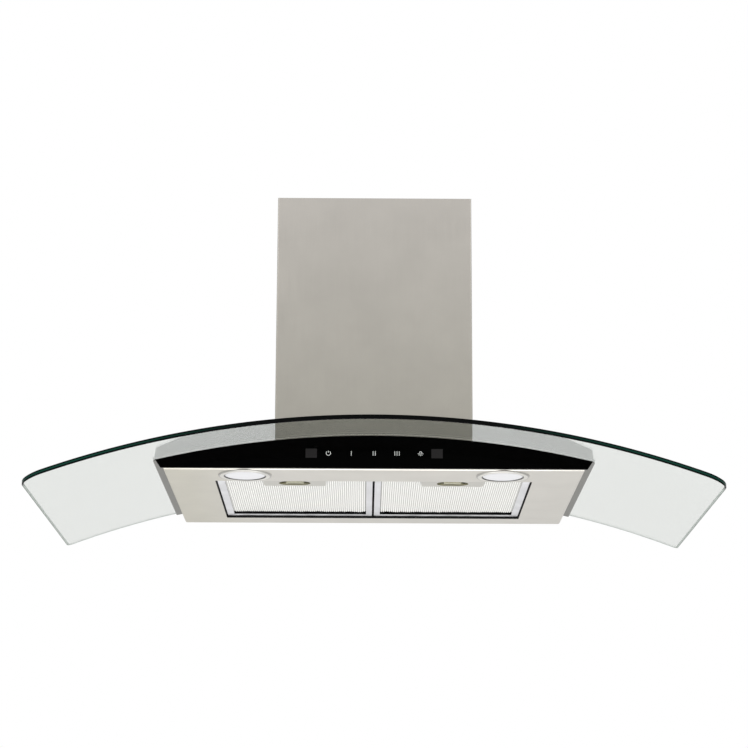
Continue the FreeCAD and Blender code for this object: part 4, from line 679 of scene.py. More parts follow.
@dataclass(frozen=True)
class BlackGlass(Finish):
    """Black painted glass of the control strip.

    Attributes:
        name: Name of the material.
        tone: Its colour.
        shine: Strength of its reflections.
    """

    name: str = "black glass"
    tone: Colour = paint(2, 2, 2)
    shine: float = 0.012

    def mix(self, graph: Graph) -> None:
        """Builds the black glass in this graph.

        Args:
            graph: Graph of the material.
        """
        smear = graph.noise(graph.where((1.0, 1.0, 3.0)), 14.0, 4.0)
        graph.colour(graph.shaded(self.tone, smear, 0.8, 1.2))
        graph.rough(graph.span(smear, 0.35, 0.75, 0.03, 0.09))
        graph.constants(Specular_IOR_Level=self.shine)


@dataclass(frozen=True)
class FrostedLens(Finish):
    """Opal lens of a lamp, lit from behind.

    Attributes:
        name: Name of the material.
        tone: Its colour.
        glow: Strength of its own light.
    """

    name: str = "opal lens"
    tone: Colour = paint(203, 203, 206)
    glow: float = 0.05

    def mix(self, graph: Graph) -> None:
        """Builds the lens in this graph.

        Args:
            graph: Graph of the material.
        """
        prisms = graph.cells(620.0).outputs["Distance"]
        graph.colour(graph.shaded(self.tone, prisms, 1.0, 0.94))
        graph.put(graph.shader.inputs["Emission Color"], graph.shaded(self.tone, prisms, 1.0, 0.9))
        graph.constants(Emission_Strength=self.glow, Roughness=0.35)
        graph.relief(prisms, 0.0001, 0.4)


@dataclass(frozen=True)
class WovenMetal(Finish):
    """Expanded aluminium of the grease filters.

    Attributes:
        name: Name of the material.
        tone: Colour of the strands.
        shade: Colour between the strands.
        strands: Half waves of its strands in a metre.
    """

    name: str
    tone: Colour
    shade: Colour
    strands: float

    def mix(self, graph: Graph) -> None:
        """Builds the metal mesh in this graph.

        Args:
            graph: Graph of the material.
        """
        level = graph.weave(self.strands, 0.6)
        grease = graph.noise(graph.where(), 26.0, 3.0)
        colour = graph.mixed(level, self.shade, self.tone)
        graph.colour(graph.shaded(colour, grease, 0.97, 1.03))
        graph.rough(graph.span(grease, 0.3, 0.7, 0.34, 0.48))
        graph.constants(Metallic=0.25)
        graph.relief(level, 0.0001, 0.2)


@dataclass(frozen=True)
class PleatedMetal(Finish):
    """Finely pleated aluminium mesh, bright on its ridges, with painted shade in its folds and where
    its ends meet the frame.

    Attributes:
        name: Name of the material.
        ridge: Colour of the ridges.
        fold: Colour of the folds, as painted shade.
        strands: Half waves of its strands in a metre.
        seen: Ends that meet the frame, from the filter's middle, where painted shade lies.
    """

    name: str
    ridge: Colour
    fold: Colour
    strands: float = 520.0
    seen: Spot = (-0.0957, 0.0936)

    def mix(self, graph: Graph) -> None:
        """Builds the pleated mesh in this graph.

        Args:
            graph: Graph of the material.
        """
        across = graph.sums("SUBTRACT", graph.aside(), FILTER_MIDDLE)
        # Painted shade in the folds: the colour follows the pleats, darker in each fold.
        wave = graph.sums("COSINE", graph.sums("MULTIPLY", across, math.pi * PLEATS / MESH_HALF))
        colour = graph.mixed(graph.span(wave, -0.7, 0.7), self.ridge, self.fold)
        # Painted shade along the ends of the mesh that meet the frame.
        inner, outer = self.seen
        inner_end_shade = graph.span(across, inner, inner - 0.0004)
        outer_end_shade = graph.span(across, outer, outer + 0.0004)
        colour = graph.shaded(colour, graph.sums("MAXIMUM", inner_end_shade, outer_end_shade), 1.0, 0.4)
        strand = graph.weave(self.strands)
        grease = graph.noise(graph.where(), 26.0, 3.0)
        graph.colour(graph.shaded(graph.shaded(colour, strand, 0.96, 1.0), grease, 0.98, 1.02))
        graph.rough(graph.span(grease, 0.3, 0.7, 0.38, 0.5))
        graph.constants(Metallic=0.15)
        graph.relief(strand, 0.00005, 0.15)


@dataclass(frozen=True)
class CircuitBoard(Finish):
    """Green board with its copper tracks.

    Attributes:
        name: Name of the material.
        board: Colour of the bare board.
        track: Colour of the covered tracks.
    """

    name: str = "circuit board"
    board: Colour = paint(20, 78, 48)
    track: Colour = paint(74, 128, 76)

    def mix(self, graph: Graph) -> None:
        """Builds the board in this graph.

        Args:
            graph: Graph of the material.
        """
        place = graph.where(turn=(math.pi / 2, 0.0, 0.0))
        inputs = {"Vector": place, "Scale": 260.0, "Mortar Size": 0.06}
        tracks = graph.node("ShaderNodeTexBrick", inputs).outputs["Fac"]
        graph.colour(graph.mixed(tracks, self.board, self.track))
        graph.constants(Roughness=0.4)
        graph.relief(tracks, 0.00004, 0.6)


@dataclass(frozen=True)
class Palette:
    """Every finish of the hood."""

    # Painted shading by height, with painted shade on the corner folds and along the top edge.
    chimney: Finish = BrushedSteel(
        "chimney steel", paint(160, 157, 148), paint(179, 175, 169), foot_z=-0.14, head_z=0.23,
        grain=Grain.UPRIGHT, roughness=0.36, fold=0.1352, edge_z=0.2302,
    )
    # Painted shading by height, with painted shade on the front fold and at the left side.
    tray: Finish = TraySteel(
        "tray steel", paint(211, 208, 202), paint(200, 197, 191), foot_z=-0.19, head_z=-0.14,
        grain=Grain.ACROSS, roughness=0.4, front_y=-0.3822,
    )
    # Painted shading by height, with painted shade on the strip that stands out past the tray.
    cover: Finish = BrushedSteel(
        "cover steel", paint(196, 195, 190), paint(206, 204, 199), foot_z=-0.19, head_z=-0.14,
        grain=Grain.ACROSS, roughness=0.4, fold=0.2766, fold_shade=0.42,
    )
    # Painted shade: the cover's edges are dark grey, as a dark line along its outer edge, with painted
    # shading by height.
    cover_edge_shade: Finish = BrushedSteel(
        "cover edge", paint(120, 119, 116), paint(130, 129, 126), foot_z=-0.19, head_z=-0.14,
        grain=Grain.ACROSS, roughness=0.4,
    )
    latch: Finish = LatchSteel()
    gap: Finish = Plastic("shadow gap", paint(12, 12, 13), 0.85)
    glass: Finish = ClearGlass()
    edge: Finish = GlassEdge()
    fascia: Finish = BlackGlass()
    signal: Finish = BlackGlass("signal window", paint(40, 38, 39), 0.03)
    print: Finish = Plastic("printed symbols", paint(244, 245, 246), 0.6, 3000.0, 0.00001)
    zinc_sheet: Finish = Galvanised("galvanised sheet", paint(196, 199, 200))
    frame: Finish = BareMetal("anodised aluminium", paint(231, 231, 234), 0.36, 900.0, 0.00001)
    mesh: Finish = PleatedMetal("filter mesh", paint(234, 234, 231), paint(174, 173, 170))
    core: Finish = WovenMetal("filter layers", paint(206, 207, 206), paint(120, 120, 118), 240.0)
    bezel: Finish = BareMetal("satin lamp ring", paint(231, 229, 223), 0.32, 800.0, 0.00001)
    # Painted shade: the ring's outer edge is darker, as a dark line round the lamp.
    bezel_edge_shade: Finish = BareMetal("lamp ring edge", paint(184, 182, 178), 0.3, 800.0, 0.00001)
    # Painted shade: the ring's bore is dark, as a dark line round the lens.
    bezel_bore_shade: Finish = BareMetal("lamp ring bore", paint(96, 96, 95), 0.3, 800.0, 0.00001)
    lens: Finish = FrostedLens()
    casting: Finish = BareMetal("cast aluminium", paint(176, 177, 178), 0.5, 900.0, 0.00012)
    foam: Finish = Plastic("foam strip", paint(58, 58, 57), 0.9, 1900.0, 0.0002)
    rubber: Finish = Plastic("black rubber", paint(34, 34, 35), 0.72, 900.0, 0.00006)
    black: Finish = Plastic("black plastic", paint(36, 37, 39), 0.42)
    grey: Finish = Plastic("grey plastic", paint(186, 188, 184), 0.42)
    slider: Finish = Plastic("light grey plastic", paint(196, 194, 176), 0.4)
    board: Finish = CircuitBoard()
    spring: Finish = BareMetal("spring steel", paint(150, 150, 152), 0.25)
    plated: Finish = BareMetal("zinc-plated steel", paint(188, 190, 188), 0.28)
    shell: Finish = BareMetal("motor shell", paint(168, 170, 172), 0.42, 700.0, 0.00006)


PALETTE = Palette()


# ---------------------------------------------------------------- shapes


class Line(Enum):
    """Axis that a turned piece is round about."""

    UP = "Z"
    ACROSS = "X"


def smoothed(mesh: bpy.types.Mesh, sharp: float) -> None:
    """Shades a mesh smooth but for edges of this angle, in degrees, and more."""
    mesh.shade_smooth()
    mesh.set_sharp_from_angle(angle=math.radians(sharp))


def finished(name: str, shape: bmesh.types.BMesh) -> Solid:
    """Object at the origin of a finished shape, smooth but for its sharp edges.

    Args:
        name: Name of the piece.
        shape: The shape, which is used up.

    Returns:
        The object.
    """
    mesh = bpy.data.meshes.new(name)
    shape.to_mesh(mesh)
    shape.free()
    smoothed(mesh, SHARP_ANGLE)
    made = bpy.data.objects.new(name, mesh)
    bpy.context.scene.collection.objects.link(made)
    return made


def baked(piece: Solid, sharp: float | None = None) -> Solid:
    """Turns the modifiers of a piece into its own plain mesh.

    Args:
        piece: The piece.
        sharp: Smallest angle of a sharp edge, in degrees, where the shading is set afresh.

    Returns:
        The same piece.
    """
    graph = bpy.context.evaluated_depsgraph_get()
    graph.update()
    mesh = bpy.data.meshes.new_from_object(
        piece.evaluated_get(graph), preserve_all_data_layers=True, depsgraph=graph
    )
    piece.modifiers.clear()
    piece.data = mesh
    if sharp is not None:
        smoothed(mesh, sharp)
    return piece


def eased(piece: Solid, width: float) -> Solid:
    """Rounds the sharp edges of a piece a little, as a press or a file leaves them.

    Args:
        piece: The piece.
        width: Size of the rounding in metres.

    Returns:
        The same piece.
    """
    rounding = piece.modifiers.new("edges", "BEVEL")
    rounding.width = width
    rounding.segments = EASED_STEPS
    rounding.limit_method = "ANGLE"
    rounding.angle_limit = math.radians(EASED_ANGLE)
    rounding.use_clamp_overlap = True
    rounding.harden_normals = True
    return baked(piece)


def dressed(piece: Solid, finish: Finish) -> Solid:
    """Gives a whole piece one finish.

    Args:
        piece: The piece.
        finish: Its surface.

    Returns:
        The same piece.
    """
    piece.data.materials.clear()
    piece.data.materials.append(finish.material())
    for face in piece.data.polygons:
        face.material_index = 0
    return piece


def carried_over(node: str, finish: Finish, edge: float = 0.0) -> Solid:
    """Copy of a CAD node as a clean mesh with eased edges.

    Args:
        node: Name of the node.
        finish: Its surface.
        edge: Size of the rounding of its edges in metres, or 0 for none.

    Returns:
        The new piece.
    """
    shape = bmesh.new()
    shape.from_mesh(frame["nodes"][node].data)
    bmesh.ops.remove_doubles(shape, verts=shape.verts, dist=0.00001)
    bmesh.ops.dissolve_degenerate(shape, edges=shape.edges, dist=0.000005)
    bmesh.ops.dissolve_limit(
        shape, angle_limit=math.radians(0.4), use_dissolve_boundaries=False,
        verts=shape.verts, edges=shape.edges, delimit={"NORMAL"},
    )
    piece = dressed(finished(f"{node}.shaped", shape), finish)
    return eased(piece, edge) if edge else piece


def set_down(piece: Solid, body: str, slot: str, *nodes: str) -> None:
    """Lets a piece ride on its body, in the place of CAD nodes, and reports it.

    Args:
        piece: The piece.
        body: Body of the hood that it moves with.
        slot: Material slot of the record; not used.
        *nodes: Nodes that it stands for.
    """
    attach(piece, body)
    if nodes:
        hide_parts(*nodes)
    LOG.info("%s rides on %s, %d faces", piece.name, body, len(piece.data.polygons))


def rounded_loop(low: Spot, high: Spot, front: float, rear: float, steps: int = 12) -> Loop:
    """Rectangle with round corners, counter-clockwise from above.

    Args:
        low: Left front corner.
        high: Right rear corner.
        front: Radius of the two front corners.
        rear: Radius of the two rear corners.
        steps: Chords of a corner.

    Returns:
        Its points.
    """
    (left, near), (right, far) = low, high
    corners = (
        (right - front, near + front, front, -90),
        (right - rear, far - rear, rear, 0),
        (left + rear, far - rear, rear, 90),
        (left + front, near + front, front, 180),
    )
    points = []
    for x, y, radius, start in corners:
        for step in range(steps + 1):
            angle = math.radians(start + 90 * step / steps)
            points.append((x + radius * math.cos(angle), y + radius * math.sin(angle)))
    return points


def round_loop(x: float, y: float, radius: float) -> Loop:
    """Circle of short chords round a point."""
    angles = [2 * math.pi * step / HOLE_CHORDS for step in range(HOLE_CHORDS)]
    return [(x + radius * math.cos(angle), y + radius * math.sin(angle)) for angle in angles]


def even(start: float, end: float, steps: int) -> list[float]:
    """Evenly spaced numbers from start to end."""
    return [start + (end - start) * step / steps for step in range(steps + 1)]


def hoop(shape: bmesh.types.BMesh, loop: Loop, level: float) -> list[bmesh.types.BMVert]:
    """Points of a loop at one level."""
    return [shape.verts.new((x, y, level)) for x, y in loop]


def capped(shape: bmesh.types.BMesh, hoops: Sequence[list[bmesh.types.BMVert]], up: float) -> None:
    """Fills the face between an outline and its holes.

    Args:
        shape: Shape that takes the face.
        hoops: Points of the outline and of the holes.
        up: 1 where it faces up, -1 where it faces down.
    """
    edges = []
    for points in hoops:
        pairs = [(points[index - 1], point) for index, point in enumerate(points)]
        edges += [shape.edges.get(pair) or shape.edges.new(pair) for pair in pairs]
    made = bmesh.ops.triangle_fill(
        shape, use_beauty=True, use_dissolve=False, edges=edges, normal=(0, 0, up)
    )
    for face in made["geom"]:
        if isinstance(face, bmesh.types.BMFace):
            face.normal_update()
            if face.normal.z * up < 0:
                face.normal_flip()


@dataclass(frozen=True)
class Sheet:
    """Flat sheet with polished edges, cut into strips so that it can be arched.

    Attributes:
        outline: Its corners low and high, and the radii of its front and rear corners.
        openings: Round-cornered openings, each with its corners and one radius.
        holes: Round holes, each with its middle and its radius.
        thick: Its thickness.
        polish: Size of the rounding of its edges.
        strip: Width of a strip.
    """

    outline: Outline
    openings: tuple[Opening, ...]
    holes: tuple[tuple[float, float, float], ...]
    thick: float
    polish: float
    strip: float = 0.0125

    def loops(self, inset: float) -> list[Loop]:
        """Outline and openings with their edges drawn back into the sheet.

        Args:
            inset: How far they are drawn back.

        Returns:
            The outline first, and then each opening.
        """
        (left, near), (right, far), front, rear = self.outline
        low, high = (left + inset, near + inset), (right - inset, far - inset)
        found = [rounded_loop(low, high, front - inset, rear - inset)]
        for (left, near), (right, far), radius in self.openings:
            low, high = (left - inset, near - inset), (right + inset, far + inset)
            found.append(rounded_loop(low, high, radius + inset, radius + inset, 8))
        found += [round_loop(x, y, radius + inset) for x, y, radius in self.holes]
        return found

    def flat(self, name: str) -> Solid:
        """The flat sheet, with its edge faces marked.

        Args:
            name: Name of the piece.

        Returns:
            The sheet, with its lower face at height 0.
        """
        shape = bmesh.new()
        rim = shape.faces.layers.int.new("rim")
        round_off = [(self.polish, 0.0), (0.3 * self.polish, 0.3 * self.polish), (0.0, self.polish)]
        levels = round_off + [(inset, self.thick - level) for inset, level in reversed(round_off)]
        stacks = []
        for inset, level in levels:
            stacks.append([hoop(shape, loop, level) for loop in self.loops(inset)])
        for lower, upper in zip(stacks, stacks[1:]):
            for number, (first, second) in enumerate(zip(lower, upper)):
                for index in range(len(first)):
                    corners = [first[index - 1], first[index], second[index], second[index - 1]]
                    face = shape.faces.new(corners if number == 0 else corners[::-1])
                    face[rim] = 1
        capped(shape, stacks[0], -1)
        capped(shape, stacks[-1], 1)
        reach = max(abs(x) for x, _ in self.loops(0.0)[0])
        for line in range(-int(reach / self.strip), int(reach / self.strip) + 1):
            bmesh.ops.bisect_plane(
                shape, geom=[*shape.verts, *shape.edges, *shape.faces], dist=1e-6,
                plane_co=(line * self.strip, 0, 0), plane_no=(1, 0, 0),
            )
        return finished(name, shape)


def turned(
    name: str, profile: Sequence[Spot], centre: Place, line: Line = Line.UP, steps: int = 64
) -> Solid:
    """Turned piece with closed poles.

    Args:
        name: Name of the piece.
        profile: Its section as radius and height; it closes on itself unless it ends on the axis.
        centre: Where height 0 is.
        line: Axis of the piece.
        steps: Chords of a full turn.

    Returns:
        The piece.
    """
    shape = bmesh.new()
    rings = []
    for radius, height in profile:
        count = steps if radius > 0 else 1
        ring = []
        for step in range(count):
            angle = 2 * math.pi * step / steps
            across, up = radius * math.cos(angle), radius * math.sin(angle)
            place = (across, up, height) if line is Line.UP else (height, across, up)
            ring.append(shape.verts.new(Vector(place) + Vector(centre)))
        rings.append(ring)
    open_ended = profile[0][0] == 0 and profile[-1][0] == 0
    pairs = list(zip(rings, rings[1:])) + ([] if open_ended else [(rings[-1], rings[0])])
    for first, second in pairs:
        for step in range(steps if len(first) + len(second) > 2 else 0):
            turn = (step + 1) % steps
            corners = [first[step % len(first)], first[turn % len(first)]]
            corners += [second[turn % len(second)], second[step % len(second)]]
            shape.faces.new(dict.fromkeys(corners))
    bmesh.ops.recalc_face_normals(shape, faces=shape.faces)
    return finished(name, shape)


def joined(name: str, pieces: Sequence[Solid]) -> Solid:
    """One piece made of several, which are used up.

    Args:
        name: Name of the piece.
        pieces: Its parts, each with its material.

    Returns:
        The piece.
    """
    shape = bmesh.new()
    materials: list[bpy.types.Material] = []
    for part in pieces:
        known = len(shape.faces)
        shape.from_mesh(part.data)
        shape.faces.ensure_lookup_table()
        for face in shape.faces[known:]:
            material = part.data.materials[face.material_index]
            if material not in materials:
                materials.append(material)
            face.material_index = materials.index(material)
        bpy.data.objects.remove(part)
    made = finished(name, shape)
    for material in materials:
        made.data.materials.append(material)
    return made


def block(shape: bmesh.types.BMesh, low: Place, high: Place) -> None:
    """Adds a box to a shape.

    Args:
        shape: Shape that takes the box.
        low: Its left, front and lower corner.
        high: Its right, rear and upper corner.
    """
    size = Vector(high) - Vector(low)
    middle = (Vector(high) + Vector(low)) / 2
    bmesh.ops.create_cube(shape, matrix=Matrix.Translation(middle) @ Matrix.Diagonal((*size, 1.0)))


# ---------------------------------------------------------------- growing trees


class Tree(NodeWork):
    """Geometry Nodes tree whose sizes are named inputs."""

    def __init__(self, name: str, inputs: dict[str, str]) -> None:
        """Starts the tree.

        Args:
            name: Name of the tree.
            inputs: Name and kind of each input.
        """
        super().__init__(bpy.data.node_groups.new(name, "GeometryNodeTree"))
        face = self.tree.interface
        face.new_socket("Geometry", in_out="OUTPUT", socket_type="NodeSocketGeometry")
        face.new_socket("Geometry", in_out="INPUT", socket_type="NodeSocketGeometry")
        self.keys: dict[str, str] = {}
        for label, kind in inputs.items():
            made = face.new_socket(label, in_out="INPUT", socket_type=f"NodeSocket{kind}")
            self.keys[label] = made.identifier
        self.entry = self.node("NodeGroupInput", {})
        self.exit = self.node("NodeGroupOutput", {})

    def size(self, label: str) -> Socket:
        """The named input of the tree."""
        return self.entry.outputs[label]

    def step(self, kind: str, inputs: dict[str | int, Any], **settings: Any) -> Socket:
        """First output of a new node."""
        return self.node(f"GeometryNode{kind}", inputs, **settings).outputs[0]

    def close(self, geometry: Socket) -> Socket:
        """Ends the tree: instances become real, and the finish is set.

        Args:
            geometry: What the tree has made.

        Returns:
            The finished geometry.
        """
        real = self.step("RealizeInstances", {"Geometry": geometry})
        made = self.step("SetMaterial", {"Geometry": real, "Material": self.size("Finish")})
        self.put(self.exit.inputs[0], made)
        return made

    def grow(self, seed: Solid, values: dict[str, Any], sharp: float = SHARP_ANGLE) -> Solid:
        """Runs the tree on a seed and keeps the result as a plain mesh.

        Args:
            seed: Mesh that the tree starts from.
            values: Value of each input.
            sharp: Smallest angle of a sharp edge, in degrees.

        Returns:
            The seed, now the grown piece.
        """
        run = seed.modifiers.new("grow", "NODES")
        run.node_group = self.tree
        for label, value in values.items():
            run[self.keys[label]] = value.material() if isinstance(value, Finish) else value
        return baked(seed, sharp)


class ArchedSheet(Tree):
    """Bends a flat sheet to the round of the canopy; its marked edges take their own finish."""

    def __init__(self) -> None:
        """Builds the tree."""
        sizes = {"Radius": "Float", "Centre Height": "Float"}
        super().__init__("arched sheet", {**sizes, "Finish": "Material", "Edge Finish": "Material"})
        split = self.node("ShaderNodeSeparateXYZ", {0: self.step("InputPosition", {})})
        across, deep, level = split.outputs
        radius = self.sums("ADD", self.size("Radius"), level)
        outer, inner = self.sums("MULTIPLY", radius, radius), self.sums("MULTIPLY", across, across)
        rise = self.sums("SQRT", self.sums("SUBTRACT", outer, inner))
        height = self.sums("ADD", rise, self.size("Centre Height"))
        bent = {"Geometry": self.size("Geometry"), "Position": self.vector(across, deep, height)}
        made = self.close(self.step("SetPosition", bent))
        rim = self.node("GeometryNodeInputNamedAttribute", {"Name": "rim"}, data_type="INT")
        edge = {"Geometry": made, "Selection": rim.outputs[0], "Material": self.size("Edge Finish")}
        self.put(self.exit.inputs[0], self.step("SetMaterial", edge))


class Grid(Tree):
    """Sets a shape down in rows and columns, as with screws, washers and bars."""

    def __init__(self) -> None:
        """Builds the tree."""
        vectors = dict.fromkeys(("Start", "Step", "Row Step"), "Vector")
        super().__init__("grid", {**vectors, "Count": "Int", "Rows": "Int", "Finish": "Material"})
        line = {"Count": self.size("Count"), "Start Location": self.size("Start")}
        column = self.step("MeshLine", {**line, "Offset": self.size("Step")})
        rows = self.step("MeshLine", {"Count": self.size("Rows"), "Offset": self.size("Row Step")})
        columns = self.step("InstanceOnPoints", {"Points": rows, "Instance": column})
        places = self.step("RealizeInstances", {0: columns})
        copies = {"Points": places, "Instance": self.size("Geometry")}
        self.close(self.step("InstanceOnPoints", copies))


class Wheel(Tree):
    """Sets a shape down round an axis along X, as with the blades of the fan."""

    def __init__(self) -> None:
        """Builds the tree."""
        super().__init__("wheel", {"Centre": "Vector", "Count": "Int", "Finish": "Material"})
        line = {"Count": self.size("Count"), "Start Location": self.size("Centre")}
        points = self.step("MeshLine", {**line, "Offset": (0.0, 0.0, 0.0)})
        share = self.sums("DIVIDE", self.step("InputIndex", {}), self.size("Count"))
        turn = self.vector(self.sums("MULTIPLY", share, 2 * math.pi), 0.0, 0.0)
        copies = {"Points": points, "Instance": self.size("Geometry"), "Rotation": turn}
        self.close(self.step("InstanceOnPoints", copies))


class PleatedMesh(Tree):
    """Folds a flat grid into the fine pleats of a grease filter and gives it its thickness.

    Its rear end is worn into an uneven line, which fades out towards the front.
    """

    def __init__(self) -> None:
        """Builds the tree."""
        sizes = ("Middle", "Pitch", "Height", "Sheet", "Floor", "Rear", "Ripple", "Seed")
        super().__init__("pleated mesh", {**dict.fromkeys(sizes, "Float"), "Finish": "Material"})
        split = self.node("ShaderNodeSeparateXYZ", {0: self.step("InputPosition", {})})
        across, deep = split.outputs[0], split.outputs[1]
        aside = self.sums("SUBTRACT", across, self.size("Middle"))
        turns = self.sums("DIVIDE", aside, self.size("Pitch"))
        wave = self.sums("COSINE", self.sums("MULTIPLY", turns, 2 * math.pi))
        crest = self.sums("MULTIPLY", self.sums("ADD", wave, 1.0), 0.5)
        rise = self.sums("MULTIPLY", self.sums("POWER", crest, 0.8), self.size("Height"))
        level = self.sums("ADD", rise, self.size("Floor"))
        to_rear = self.sums("SUBTRACT", self.size("Rear"), deep)
        near = {"Value": to_rear, "From Min": 0.0, "From Max": 0.02, "To Min": 1.0, "To Max": 0.0}
        share = self.node("ShaderNodeMapRange", near).outputs[0]
        place = self.vector(across, self.size("Seed"), 0.0)
        noise = self.node("ShaderNodeTexNoise", {"Vector": place, "Scale": 70.0, "Detail": 2.0})
        unevenness = self.sums("SUBTRACT", noise.outputs[0], 0.5)
        worn = self.sums("MULTIPLY", unevenness, self.size("Ripple"))
        shifted = self.sums("ADD", deep, self.sums("MULTIPLY", worn, share))
        bent = {"Geometry": self.size("Geometry"), "Position": self.vector(across, shifted, level)}
        folded = self.step("SetPosition", bent)
        lift = {"Offset": (0.0, 0.0, 1.0), "Offset Scale": self.size("Sheet"), "Individual": False}
        whole = self.node("GeometryNodeJoinGeometry", {})
        self.put(whole.inputs[0], self.step("ExtrudeMesh", {"Mesh": folded, **lift}))
        self.put(whole.inputs[0], self.step("FlipFaces", {"Mesh": folded}))
        sewn = {"Geometry": whole.outputs[0], "Distance": 0.000001}
        self.close(self.step("MergeByDistance", sewn))


@dataclass
class Trees:
    """The growing trees that the sub-assemblies share."""

    sheet: ArchedSheet = field(default_factory=ArchedSheet)
    grid: Grid = field(default_factory=Grid)
    wheel: Wheel = field(default_factory=Wheel)
    pleats: PleatedMesh = field(default_factory=PleatedMesh)


# ---------------------------------------------------------------- the studio


@dataclass
class Studio:
    """Camera, lamps, floor and white surroundings.

    Attributes:
        eye: Place of the camera.
        pitch: Degrees that it looks up.
        roll: Degrees that it leans.
        yaw: Degrees that it looks aside.
        lens: Focal length in millimetres on a sensor 36 mm wide.
        shift: Share of the picture that the view is moved up.
        sight: How far the camera sees.
        aim: Point that every lamp shines at.
        floor_z: Height of the floor.
        floor_half: Half the width of the floor.
        floor_tone: Colour of the floor.
        fade: Distances between which the floor turns white.
        ambient: Strength of the white surroundings as light.
        lamps: Name, place, power and size of each lamp.
    """

    eye: Place = (-0.0132, -3.233, -0.7835)
    pitch: float = 13.098
    roll: float = -0.218
    yaw: float = -0.309
    lens: float = 106.76
    shift: float = 0.06
    sight: float = 200.0
    aim: Place = (0.0, -0.2, -0.05)
    floor_z: float = -1.9
    floor_half: float = 60.0
    floor_tone: Colour = (0.87, 0.87, 0.86)
    fade: Spot = (7.0, 26.0)
    ambient: float = 0.8
    lamps: tuple[tuple[str, Place, float, float], ...] = (
        ("lamp front left", (-2.6, -3.4, 2.2), 36.0, 2.4),
        ("lamp front right", (2.6, -3.4, 2.2), 36.0, 2.4),
        ("lamp below", (0.0, -0.2, -1.6), 19.0, 1.6),
    )

    def camera(self) -> None:
        """Sets up the camera of the photograph."""
        data = bpy.data.cameras.new("camera")
        data.lens = self.lens
        data.sensor_width = 36.0
        data.shift_y = self.shift
        data.clip_end = self.sight
        made = bpy.data.objects.new("camera", data)
        made.location = self.eye
        turns = (90 + self.pitch, self.roll, self.yaw)
        made.rotation_euler = [math.radians(turn) for turn in turns]
        bpy.context.scene.collection.objects.link(made)
        bpy.context.scene.camera = made

    def lamp(self, name: str, place: Place, watts: float, size: float) -> None:
        """Hangs a soft lamp that shines on the hood, unseen by the camera.

        Args:
            name: Name of the lamp.
            place: Where it hangs.
            watts: Its power.
            size: Side of its square face in metres.
        """
        data = bpy.data.lights.new(name, "AREA")
        data.energy = watts
        data.size = size
        made = bpy.data.objects.new(name, data)
        made.visible_camera = made.visible_transmission = False
        made.location = place
        way = Vector(self.aim) - Vector(place)
        made.rotation_euler = way.to_track_quat("-Z", "Y").to_euler()
        bpy.context.scene.collection.objects.link(made)

    def surroundings(self) -> None:
        """Makes the world white to the eye, and a little softer as light."""
        world = bpy.data.worlds.new("surroundings")
        world.use_nodes = True
        bpy.context.scene.world = world
        work = NodeWork(world.node_tree)
        back = world.node_tree.nodes["Background"]
        path = work.node("ShaderNodeLightPath", {})
        seen = work.sums("MAXIMUM", path.outputs["Is Camera Ray"], path.outputs["Is Glossy Ray"])
        seen = work.sums("MAXIMUM", seen, path.outputs["Is Transmission Ray"])
        level = work.node("ShaderNodeMapRange", {"Value": seen, "To Min": self.ambient, "To Max": 1.0})
        work.put(back.inputs["Color"], (1.0, 1.0, 1.0))
        work.put(back.inputs["Strength"], level.outputs[0])

    def floor(self) -> Solid:
        """Lays the pale floor, which fades into the white far away.

        Returns:
            The floor.
        """
        half = self.floor_half
        shape = bmesh.new()
        corners = ((-half, -half), (half, -half), (half, half), (-half, half))
        shape.faces.new([shape.verts.new((x, y, self.floor_z)) for x, y in corners])
        graph = Graph("pale floor")
        grain = graph.noise(graph.where(), 3.0, 4.0)
        graph.colour(graph.shaded(self.floor_tone, grain, 0.98, 1.02))
        graph.constants(Roughness=0.8, Specular_IOR_Level=0.2)
        length = graph.node("ShaderNodeVectorMath", {0: graph.where()}, operation="LENGTH")
        far = graph.span(length.outputs["Value"], *self.fade)
        white = {"Color": (1.0, 1.0, 1.0), "Strength": 1.0}
        graph.shown(far, graph.node("ShaderNodeEmission", white))
        made = finished("floor", shape)
        made.data.materials.append(graph.material)
        return made

    def build(self) -> None:
        """Sets up the whole studio."""
        scene = bpy.context.scene
        scene.view_settings.view_transform = "Standard"
        self.camera()
        for lamp in self.lamps:
            self.lamp(*lamp)
        self.surroundings()
        self.floor()


# ---------------------------------------------------------------- sub-assemblies


@dataclass
class SubAssembly:
    """Part of the hood that is built and dressed as one.

    Attributes:
        trees: Growing trees to build with.
    """

    trees: Trees

    def build(self) -> None:
        """Builds and dresses every piece."""
        raise NotImplementedError

    def keep(self, node: str, body: str, slot: str, finish: Finish, edge: float = 0.0) -> None:
        """Sets down a carried-over node with eased edges.

        Args:
            node: Name of the node.
            body: Body that it moves with.
            slot: Material slot of the record.
            finish: Its surface.
            edge: Size of the rounding of its edges in metres, or 0 for none.
        """
        set_down(carried_over(node, finish, edge), body, slot, node)


